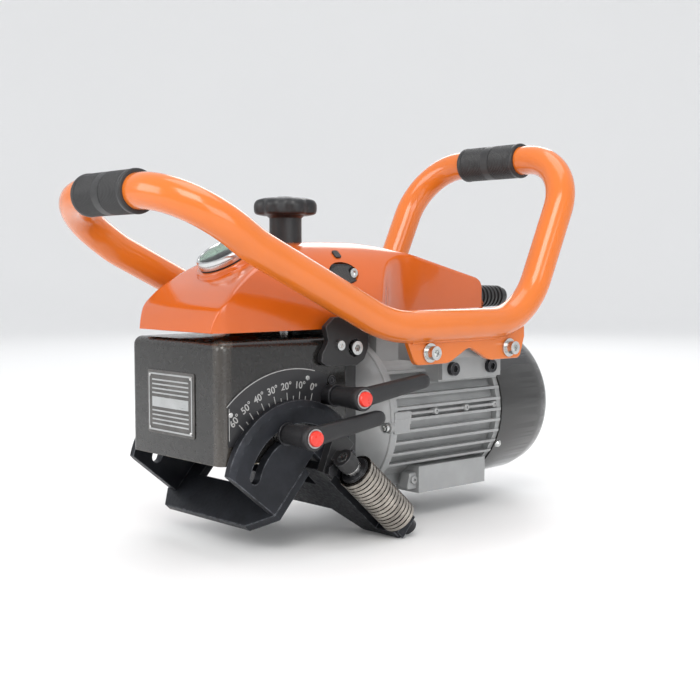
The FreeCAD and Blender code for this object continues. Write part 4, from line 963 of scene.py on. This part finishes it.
class BEVELLER_OT_gauge(bpy.types.Operator):
    """The depth gauge: chromed bezel, seal, printed dial, needle and domed glass"""

    bl_idname = "beveller.gauge"
    bl_label = "Depth gauge"

    def execute(self, context):
        rim = [(0, 2.2), (0, 23.6), (0.7, 24.7), (1.8, 25), (4.4, 25), (4.9, 24.3), (5.4, 25), (7.4, 25),
               (8.5, 24.4), (9.0, 23.3), (8.8, 22.4), (8.2, 21.95), (1.5, 21.95), (1.5, 2.2)]
        bezel = lathe(rim, DIAL_BASE, GAUGE_AXIS, 96, closed=True)
        stem = lathe([(-15, 12), (-15, 15.3), (0.2, 15.3), (0.2, 12)], DIAL_BASE, GAUGE_AXIS, 72, closed=True)
        settle(build("gauge_bezel_ring", [bezel, stem]), finish("chrome_ring"), "gauge_bezel")
        ring = [(-1.5, 15.6), (-1.5, 23.4), (-0.9, 24), (0.9, 24), (1.5, 23.4), (1.5, 15.6)]
        seal = build("gauge_seal_ring", [lathe(ring, GAUGE_BASE, GAUGE_AXIS, 96, closed=True)])
        settle(seal, finish("rubber_black"), "gauge_seal")
        disc = [(1.55, 2.15), (1.55, 21.8), (2.8, 21.8), (2.8, 2.15)]
        face = lathe(disc, DIAL_BASE, GAUGE_AXIS, 96, closed=True)
        settle(build("gauge_dial_face", [face]), finish("dial_print"), "gauge_dial")
        marks = []
        for step in range(DIAL_STEPS):
            angle = 2 * math.pi * step / DIAL_STEPS
            long_mark = step % 5 == 0
            marks.append(dial_tick(angle, 16.6 if long_mark else 18.6, 21.0, 0.6 if long_mark else 0.32))
        for number in range(0, DIAL_STEPS, 10):
            angle = 2 * math.pi * number / DIAL_STEPS
            at = on_dial(13.2 * math.sin(angle), 13.2 * math.cos(angle), 2.84)
            marks.append(lettering(str(number), 5.0, at, X_AXIS, GAUGE_UP))
        print_marks = build("gauge_dial_marks", marks)
        settle(print_marks, finish("sheet_black"), "gauge_dial", stands_for=False)
        hand = np.array([(-1.0, -5.0), (1.0, -5.0), (1.2, 0.0), (0.3, 17.4), (-0.3, 17.4), (-1.2, 0.0)])
        pointer = plate(hand, on_dial(0, 0, 3.4), X_AXIS, GAUGE_UP, 0.6, 0.1)
        hub = lathe([(-0.5, 0), (-0.5, 2.0), (3.8, 2.0), (4.3, 1.6), (4.4, 0)], DIAL_BASE, GAUGE_AXIS, 40)
        settle(build("gauge_needle_hand", [pointer, hub]), finish("sheet_black"), "gauge_needle")
        dome = [(6.6, 0), (6.6, 21.85), (7.9, 21.85), (8.5, 19.5), (9.1, 14), (9.5, 7), (9.6, 0)]
        glass = build("gauge_glass_dome", [lathe(dome, DIAL_BASE, GAUGE_AXIS, 96)], sharp=60.0)
        settle(glass, finish("gauge_glass"), "gauge_lens")
        return {"FINISHED"}


# ---------------------------------------------------------------- head guard, badge and degree scale

BADGE_THICKNESS = 1.2
BADGE_MARGIN = 3.2
RIB_MARGIN = 8.0
SCALE_FACE = 70.3
SCALE_ZERO = 15.3
MARK_START = 75.0
TEN_MARK_END = 82.5
FIVE_MARK_END = 79.0
NUMBER_REACH = 88.0
NUMBER_HEIGHT = 8.6
LINE_WIDTH = 0.7


def polar(x, radius, degrees):
    """A point about the tilt pivot: 0 degrees is straight up, and angles grow towards the back."""
    angle = math.radians(degrees)
    return PIVOT + np.array([x, radius * math.sin(angle), radius * math.cos(angle)])


def polar_axes(degrees):
    """At an angle about the tilt pivot, the direction along the arc and the direction outwards."""
    angle = math.radians(degrees)
    return np.array([0, math.cos(angle), -math.sin(angle)]), np.array([0, math.sin(angle), math.cos(angle)])


def scale_bar(degrees, inner, outer, width):
    """A thin bar on the scale between two distances from the tilt pivot, pointing at the pivot."""
    right, out = polar_axes(degrees)
    outline = np.array([(-width / 2, inner), (width / 2, inner), (width / 2, outer), (-width / 2, outer)])
    return plate(outline, PIVOT + X_AXIS * (SCALE_FACE - 0.04), right, out, 0.14, 0.02)


def scale_arc(radius, width, first, last):
    """A thin curved band on the scale: radius and angle are the two directions of its grid."""
    angle = np.radians(np.linspace(first, last, 80))
    rows = []
    for lift, share in ((-0.04, -0.5), (0.1, -0.5), (0.1, 0.5), (-0.04, 0.5)):
        reach = radius + share * width
        x = np.full_like(angle, SCALE_FACE + lift)
        rows.append(np.column_stack([x, PIVOT[1] + reach * np.sin(angle), PIVOT[2] + reach * np.cos(angle)]))
    points = np.stack(rows, axis=1)
    return grid(points, wrap_columns=True, cap_first=True, cap_last=True)


def badge_bars(low, high):
    """The raised parts of the badge: four frame bars, rows of thin ribs and a broad band in the middle."""
    face = -BADGE_THICKNESS
    half = 0.7
    left, bottom = low[0] + BADGE_MARGIN, low[2] + BADGE_MARGIN
    right, top = high[0] - BADGE_MARGIN, high[2] - BADGE_MARGIN
    bars = []
    for z in (bottom, top):
        bars.append(block((left - half, face - 0.4, z - half), (right + half, face, z + half)))
    for x in (left, right):
        bars.append(block((x - half, face - 0.4, bottom), (x + half, face, top)))
    middle = 0.5 * (low[2] + high[2])
    rib_left, rib_right = low[0] + RIB_MARGIN, high[0] - RIB_MARGIN
    for row in (-5, -4, -3, -2, 2, 3, 4, 5):
        z = middle + row * 3.9
        bars.append(block((rib_left, face - 0.3, z - 0.65), (rib_right, face, z + 0.65)))
    bars.append(block((rib_left, face - 0.35, middle - 4.4), (rib_right, face, middle + 4.4)))
    return bars


class BEVELLER_OT_guard(bpy.types.Operator):
    """The painted guard box and its ribbed badge plate"""

    bl_idname = "beveller.guard"
    bl_label = "Head guard"

    def execute(self, context):
        refined("head_guard", 0.9, 3)
        low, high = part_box("maker_plate")
        low, high = from_frame(low), from_frame(high)
        corners = [(low[0], low[2]), (high[0], low[2]), (high[0], high[2]), (low[0], high[2])]
        base = plate(eased(corners, 2.5, closed=True), np.zeros(3), X_AXIS, Z_AXIS, BADGE_THICKNESS, 0.3)
        settle(build("badge_sheet", [base]), finish("badge_dark"), "maker_plate")
        relief_bars = badge_bars(low, high)
        settle(build("badge_relief", relief_bars), finish("badge_metal"), "maker_plate", stands_for=False)
        return {"FINISHED"}


class BEVELLER_OT_scale(bpy.types.Operator):
    """The black degree scale with its white marks and numbers"""

    bl_idname = "beveller.scale"
    bl_label = "Degree scale"

    def execute(self, context):
        refined("angle_scale", 0.12, 1)
        marks = []
        for degrees in range(0, 65, 5):
            mark_end = TEN_MARK_END if degrees % 10 == 0 else FIVE_MARK_END
            marks.append(scale_bar(SCALE_ZERO - degrees, MARK_START, mark_end, LINE_WIDTH))
        for degrees in range(0, 70, 10):
            right, out = polar_axes(SCALE_ZERO - degrees)
            at = polar(SCALE_FACE + 0.05, NUMBER_REACH, SCALE_ZERO - degrees)
            marks.append(lettering(str(degrees) + "°", NUMBER_HEIGHT, at, right, out))
        marks.append(scale_arc(102.5, LINE_WIDTH, 14.0, -43.5))
        marks.append(block((SCALE_FACE - 0.04, 7.6, -1.0), (SCALE_FACE + 0.1, 8.2, 26.0)))
        settle(build("degree_marks", marks), finish("scale_white"), "angle_scale", stands_for=False)
        return {"FINISHED"}


# ---------------------------------------------------------------- tilting guide and roller

class BEVELLER_OT_guide(bpy.types.Operator):
    """The sectors, shoe, rear guide and roller arm with broken edges"""

    bl_idname = "beveller.guide"
    bl_label = "Tilting guide"

    def execute(self, context):
        for node in ("tilt_sectors", "front_shoe", "rear_guide"):
            refined(node, 0.7, 2)
        small = ["roller_arm", "roller_arm_screws", "roller_shaft"]
        for node in small + ["sector_keys", "clamp_studs", "clamp_washers"]:
            refined(node, 0.4, 2)
        return {"FINISHED"}


ROLLER_LENGTH = 72.0
ROLLER_BORE = 5.1
GROOVE_RADIUS = 14.9
RING_HEIGHT = 1.9


def roller_surface(rings):
    """A ring stands on each pitch of the roller. Its crown is flat, and each flank is a clamped ramp
    t put through 3 t squared less 2 t cubed."""
    along = np.linspace(0.0, ROLLER_LENGTH, rings * 22 + 1)
    phase = np.abs((along * rings / ROLLER_LENGTH) % 1.0 - 0.5)
    crown = np.clip((0.42 - phase) / 0.07, 0.0, 1.0)
    crown = crown * crown * (3 - 2 * crown)
    radius = GROOVE_RADIUS + RING_HEIGHT * crown
    profile = np.vstack([[0, ROLLER_BORE], np.column_stack([along, radius]), [ROLLER_LENGTH, ROLLER_BORE]])
    return lathe(profile, ROLLER_START, DOWN_GUIDE, 80, closed=True)


class BEVELLER_OT_roller(bpy.types.Operator):
    """The ringed guide roller and its washers"""

    bl_idname = "beveller.roller"
    bl_label = "Guide roller"

    def execute(self, context):
        roller = build("ringed_guide_roller", [roller_surface(sizes().roller_rings)], sharp=28.0)
        settle(roller, finish("turned_steel"), "guide_roller")
        refined("roller_washers", 0.2, 2)
        return {"FINISHED"}


# ---------------------------------------------------------------- clamping levers

LEVERS = {"lower": (61.0, 1.2), "upper": (116.5, 30.0)}
LEVER_BASE = 82.3
LEVER_TOP = 118.3
LEVER_RISE = math.radians(8.5)
LEVER_LENGTH = 80.0
TIP_RADIUS = 6.6


def lever_arm(root):
    """Superellipse sections along the lever: the arm leans outwards, narrows, and its last stretch
    closes as a quarter circle."""
    along = np.array([0.0, math.cos(LEVER_RISE), math.sin(LEVER_RISE)])
    across = np.array([0.0, -math.sin(LEVER_RISE), math.cos(LEVER_RISE)])
    tip_start = LEVER_LENGTH - TIP_RADIUS
    end = np.linspace(0.0, np.pi / 2, 14)
    run = np.concatenate([np.linspace(0.0, tip_start, 40), tip_start + TIP_RADIUS * np.sin(end[1:])])
    share = np.minimum(run / tip_start, 1.0)
    close = np.concatenate([np.ones(40), np.cos(end[1:])])
    close = np.maximum(close, 0.02)
    middle = LEVER_TOP - 6.2 + 3.7 * share ** 1.6
    half_depth = (5.8 + 0.2 * share) * (0.45 + 0.55 * close)
    half_height = (8.6 - 2.0 * share ** 0.7) * close
    turn = np.linspace(0.0, 2 * np.pi, 48, endpoint=False)
    power = 2.0 / 3.4
    flat_x = np.sign(np.cos(turn)) * np.abs(np.cos(turn)) ** power
    flat_z = np.sign(np.sin(turn)) * np.abs(np.sin(turn)) ** power
    x = middle[:, None] + half_depth[:, None] * flat_x[None, :]
    offset = half_height[:, None] * flat_z[None, :]
    points = x[..., None] * X_AXIS + root + run[:, None, None] * along + offset[..., None] * across
    return grid(points, wrap_columns=True, cap_first=True, cap_last=True)


def lever_hub(root):
    """A profile of (height over the lever's base, radius) turned once, with a well for the button."""
    hub = [(14, 0), (14, 5.1), (0, 5.1), (0, 7.6), (0.6, 8.2), (4, 8.4), (26, 9.9), (29.6, 10.3),
           (30.4, 10.6), (35.0, 10.6), (35.8, 10.2), (36.0, 9.4), (36.0, 8.4), (35.2, 8.2), (35.2, 6.8),
           (27, 6.7), (27, 0)]
    return lathe(hub, root + LEVER_BASE * X_AXIS, X_AXIS, 72)


class BEVELLER_OT_levers(bpy.types.Operator):
    """The two clamping levers, their push buttons and grey rings as painted highlights round them"""

    bl_idname = "beveller.levers"
    bl_label = "Clamping levers"

    def execute(self, context):
        for prefix, (y, z) in LEVERS.items():
            root = np.array([0.0, y, z])
            lever = build(prefix + "_lever_moulding", [lever_hub(root), lever_arm(root)])
            settle(lever, finish("lever_black"), prefix + "_lever")
            top = root + LEVER_TOP * X_AXIS
            # A grey metal ring round the button stands for light caught on the rim of its well: a painted
            # highlight.
            rim = [(-0.9, 6.85), (-0.9, 8.15), (0.1, 8.15), (0.3, 7.9), (0.3, 7.1), (0.1, 6.85)]
            ring = build(prefix + "_button_ring", [lathe(rim, top, X_AXIS, 64, closed=True)])
            settle(ring, finish("badge_metal"), prefix + "_lever", stands_for=False)
            press = [(-6.1, 0), (-6.1, 6.6), (2.4, 6.6), (3.2, 6.2), (3.6, 5.2), (3.75, 3.0), (3.8, 0)]
            button = build(prefix + "_push_button", [lathe(press, top, X_AXIS, 64)])
            settle(button, finish("red_button"), prefix + "_button")
        return {"FINISHED"}


# ---------------------------------------------------------------- motor, tail and fasteners

BOOT_START = (0.0, 365.0, 112.0)
BOOT_LENGTH = 66.0
BOOT_BORE = 5.5
BOOT_PITCH = 6.0


def boot_surface(ribs):
    """A cone with a row of flat-topped ribs: each rib is a clamped cosine pulse, smoothed, and the
    ribs get a little smaller towards the end."""
    along = np.linspace(0.0, BOOT_LENGTH, 400)
    cone = 11.0 - 2.0 * along / BOOT_LENGTH
    number = np.floor(along / BOOT_PITCH)
    pulse = np.clip(1.9 * np.cos(2 * np.pi * (along - 3.8) / BOOT_PITCH) + 0.75, 0.0, 1.0)
    pulse = pulse * (number < ribs)
    radius = cone + (12.8 - 0.16 * number - cone) * pulse * pulse * (3 - 2 * pulse)
    profile = np.vstack([[0, BOOT_BORE], np.column_stack([along, radius]), [BOOT_LENGTH, BOOT_BORE]])
    return lathe(profile, BOOT_START, Y_AXIS, 64, closed=True)


FIN_RADIUS = 78.0
BOSS_ROOT = 6.0
KNUCKLE_ROOT = 5.0


def boss(y, z, length, height, proud):
    """A rounded block that stands out of the fins to the side."""
    outline = eased([(y, z - height / 2), (y + length, z - height / 2), (y + length, z + height / 2),
                     (y, z + height / 2)], 2.2, closed=True)
    x = math.sqrt(FIN_RADIUS ** 2 - z ** 2) - BOSS_ROOT
    return plate(outline, X_AXIS * x, Y_AXIS, Z_AXIS, BOSS_ROOT + proud, 0.7)


def knuckle(y, z, radius, proud):
    """A round boss with a small dimple in its top."""
    x = math.sqrt(FIN_RADIUS ** 2 - z ** 2) - KNUCKLE_ROOT
    top = KNUCKLE_ROOT + proud
    outline = [(0, 0), (0, radius + 0.4), (top - 0.6, radius), (top, radius - 0.7), (top, 0.45 * radius),
               (top - 1.4, 0.35 * radius), (top - 1.4, 0)]
    return lathe(outline, (x, y, z), X_AXIS, 32)


def gusset(y):
    """A triangular rib between the lowest fin and the foot."""
    outline = np.array([(y, -72.0), (y + 17.0, -72.0), (y + 13.0, -56.0), (y + 4.0, -56.0)])
    return plate(eased(outline, 2.5, closed=True), X_AXIS * 46.0, Y_AXIS, Z_AXIS, 12.0, 0.8)


def castings():
    """The bosses of the right side: a spine between two fins, its knuckles and the foot's ribs."""
    shapes = [boss(191.0, 2.0, 22.0, 13.0, 1.2), boss(213.0, 5.5, 118.0, 2.8, 0.4)]
    shapes += [knuckle(247.0, 5.5, 3.2, 1.6), knuckle(290.0, 5.5, 3.2, 1.6), knuckle(332.0, 5.5, 3.0, 1.0)]
    stud = [(0, 0), (0, 4.2), (5.4, 4.0), (6.0, 3.4), (6.0, 1.6), (4.6, 1.4), (4.6, 0)]
    for y in (228.0, 262.0, 296.0):
        shapes.append(gusset(y))
        shapes.append(lathe(stud, (54.0, y + 8.5, -63.0), X_AXIS, 32))
    return shapes


def shield_rim():
    """A raised seam ring where the front end shield meets the motor frame."""
    seam = [(186.4, 74), (186.4, 78.4), (187.2, 79.2), (189.6, 79.2), (190.2, 78.6), (190.2, 74)]
    return lathe(seam, (0, 0, 0), Y_AXIS, 160, closed=True)


class BEVELLER_OT_motor(bpy.types.Operator):
    """The finned motor, its end shields and the fan cover"""

    bl_idname = "beveller.motor"
    bl_label = "Motor"

    def execute(self, context):
        for node in ("motor_frame", "drive_end_shield", "rear_end_shield", "fan_cover"):
            refined(node)
        refined("slide_plate", 0.4, 2)
        shapes = castings()
        shapes += [mirrored(shape) for shape in shapes] + [shield_rim()]
        settle(build("motor_castings", shapes), finish("motor_paint"), "motor_frame", stands_for=False)
        return {"FINISHED"}


class BEVELLER_OT_tail(bpy.types.Operator):
    """The cable gland and its ribbed boot"""

    bl_idname = "beveller.tail"
    bl_label = "Cable boot"

    def execute(self, context):
        boot = build("ribbed_cable_boot", [boot_surface(sizes().boot_ribs)], sharp=50.0)
        settle(boot, finish("rubber_black"), "cable_boot")
        refined("cable_gland", 0.3, 2)
        return {"FINISHED"}


class BEVELLER_OT_fasteners(bpy.types.Operator):
    """Brackets, screws, bolts and washers with broken edges"""

    bl_idname = "beveller.fasteners"
    bl_label = "Brackets and fasteners"

    def execute(self, context):
        for node in ("side_brackets", "damper_bushes", "terminal_box"):
            refined(node, 0.6, 2)
        refined("handle_carriers", 1.0, 3, looks="motor_paint")
        for node in ("pad_bolts", "handle_bolts", "handle_washers", "guard_screws", "plate_rivets"):
            refined(node, 0.3, 2)
        refined("casing_screws", 0.3, 2, looks="zinc_plate")
        return {"FINISHED"}


class BEVELLER_OT_cutter(bpy.types.Operator):
    """The milling cutter with its inserts and screw"""

    bl_idname = "beveller.cutter"
    bl_label = "Cutter"

    def execute(self, context):
        refined("cutter_body", 0.3, 2)
        refined("cutting_inserts", 0.15, 1)
        refined("cutter_screw", 0.4, 2)
        return {"FINISHED"}


class BEVELLER_OT_inner_parts(bpy.types.Operator):
    """Every node that shows as it is gets the finish of its slot"""

    bl_idname = "beveller.inner_parts"
    bl_label = "Inner parts"

    def execute(self, context):
        for name, node in frame["nodes"].items():
            if node.hide_render:
                continue
            node.data.materials.clear()
            node.data.materials.append(finish_for(name))
        return {"FINISHED"}


# ---------------------------------------------------------------- floor, light and camera

def soft_light(name, place, aim, width, height, power, colour):
    """A rectangular light that stands at a place and looks at its aim."""
    lamp = bpy.data.lights.new(name, "AREA")
    lamp.shape = "RECTANGLE"
    lamp.size = width
    lamp.size_y = height
    lamp.energy = power
    lamp.color = colour
    holder = bpy.data.objects.new(name, lamp)
    bpy.context.scene.collection.objects.link(holder)
    direction = Vector(aim) - Vector(place)
    holder.matrix_world = Matrix.Translation(place) @ direction.to_track_quat("-Z", "Y").to_matrix().to_4x4()


# Metres, watts and, for the lens, millimetres.
FLOOR_REACH = 3.4
FLOOR_RISE = 2.0
FLOOR_TOP = (3.2, 5.45)
WORLD_COLOUR = (0.95, 0.965, 1.0, 1.0)
WORLD_STRENGTH = 0.8
# Each light: its name, its place, the height it looks at, its width and height, power and colour.
LIGHTS = (
    ("key", (1.5, -1.6, 2.3), 0.2, 1.5, 1.5, 40.0, (1.0, 0.985, 0.96)),
    ("front_fill", (2.4, -0.6, 0.9), 0.2, 1.6, 1.2, 16.0, (0.97, 0.985, 1.0)),
    ("left_fill", (-0.8, -2.4, 1.1), 0.2, 1.4, 1.4, 22.0, (1.0, 1.0, 1.0)),
    ("overhead", (0.0, 0.4, 2.6), 0.2, 1.6, 1.6, 15.0, (1.0, 1.0, 1.0)),
    ("back_rim", (-1.8, 2.0, 1.7), 0.25, 1.4, 1.2, 14.0, (1.0, 1.0, 1.0)),
)
LENS_LENGTH = 59.66
SENSOR_WIDTH = 36.0
CAMERA_PLACE = (0.846548, -0.737162, 0.244984)
CAMERA_AHEAD = (-0.74129819, 0.66746789, -0.07045289)
CAMERA_RIGHT = (0.66913061, 0.74314483, 0.0)


def add_camera():
    """The camera: its place, the direction it looks in and the level direction to its right."""
    lens = bpy.data.cameras.new("camera")
    lens.lens = LENS_LENGTH
    lens.sensor_width = SENSOR_WIDTH
    lens.clip_start = 0.01
    camera = bpy.data.objects.new("camera", lens)
    bpy.context.scene.collection.objects.link(camera)
    ahead = Vector(CAMERA_AHEAD)
    right = Vector(CAMERA_RIGHT).normalized()
    turned = Matrix((right, right.cross(ahead), -ahead)).transposed().to_4x4()
    camera.matrix_world = Matrix.Translation(CAMERA_PLACE) @ turned
    bpy.context.scene.camera = camera


class BEVELLER_OT_stage(bpy.types.Operator):
    """The pale floor that rises all round, the soft lights and the camera"""

    bl_idname = "beveller.stage"
    bl_label = "Stage"

    def execute(self, context):
        rise = np.linspace(0.0, np.pi / 2, 24)
        height = FLOOR_RISE * (1.0 - np.cos(rise))
        sweep = np.column_stack([height, FLOOR_REACH + FLOOR_RISE * np.sin(rise)])
        profile = np.vstack([[0.0, 0.0], sweep, FLOOR_TOP]) / MM
        floor = build("pale_floor", [lathe(profile, from_frame((0.0, 0.0, 0.0)), Z_AXIS, 120)])
        floor.data.materials.append(finish("floor_matt"))
        for name, place, aim_height, width, length, power, colour in LIGHTS:
            soft_light(name, place, (0, 0, aim_height), width, length, power, colour)
        world = bpy.data.worlds.new("studio")
        world.use_nodes = True
        world.node_tree.nodes["Background"].inputs["Color"].default_value = WORLD_COLOUR
        world.node_tree.nodes["Background"].inputs["Strength"].default_value = WORLD_STRENGTH
        bpy.context.scene.world = world
        bpy.context.scene.view_settings.view_transform = "Standard"
        add_camera()
        return {"FINISHED"}


STEPS = (
    BEVELLER_OT_cover, BEVELLER_OT_handles, BEVELLER_OT_grips, BEVELLER_OT_knob, BEVELLER_OT_gauge,
    BEVELLER_OT_guard, BEVELLER_OT_scale, BEVELLER_OT_guide, BEVELLER_OT_roller, BEVELLER_OT_levers,
    BEVELLER_OT_motor, BEVELLER_OT_tail, BEVELLER_OT_fasteners, BEVELLER_OT_cutter, BEVELLER_OT_inner_parts,
    BEVELLER_OT_stage,
)


class BEVELLER_PT_panel(bpy.types.Panel):
    """Lists the sizes, the colours and the steps"""

    bl_idname = "BEVELLER_PT_panel"
    bl_label = "Plate beveller"
    bl_space_type = "VIEW_3D"
    bl_region_type = "UI"
    bl_category = "Beveller"

    def draw(self, context):
        column = self.layout.column()
        for settings in (context.scene.beveller_sizes, context.scene.beveller_colours):
            for name in settings.__annotations__:
                column.prop(settings, name)
        for step in STEPS:
            column.operator(step.bl_idname)


CLASSES = (BEVELLER_PG_colours, BEVELLER_PG_sizes, *STEPS, BEVELLER_PT_panel)


def register():
    """Adds the classes and the two groups of settings."""
    for item in CLASSES:
        bpy.utils.register_class(item)
    bpy.types.Scene.beveller_colours = PointerProperty(type=BEVELLER_PG_colours)
    bpy.types.Scene.beveller_sizes = PointerProperty(type=BEVELLER_PG_sizes)


def unregister():
    """Takes them out again."""
    del bpy.types.Scene.beveller_sizes
    del bpy.types.Scene.beveller_colours
    for item in reversed(CLASSES):
        bpy.utils.unregister_class(item)


def main():
    """Makes every piece."""
    register()
    for step in STEPS:
        group, name = step.bl_idname.split(".")
        getattr(getattr(bpy.ops, group), name)()


if __name__ == "__main__":
    main()
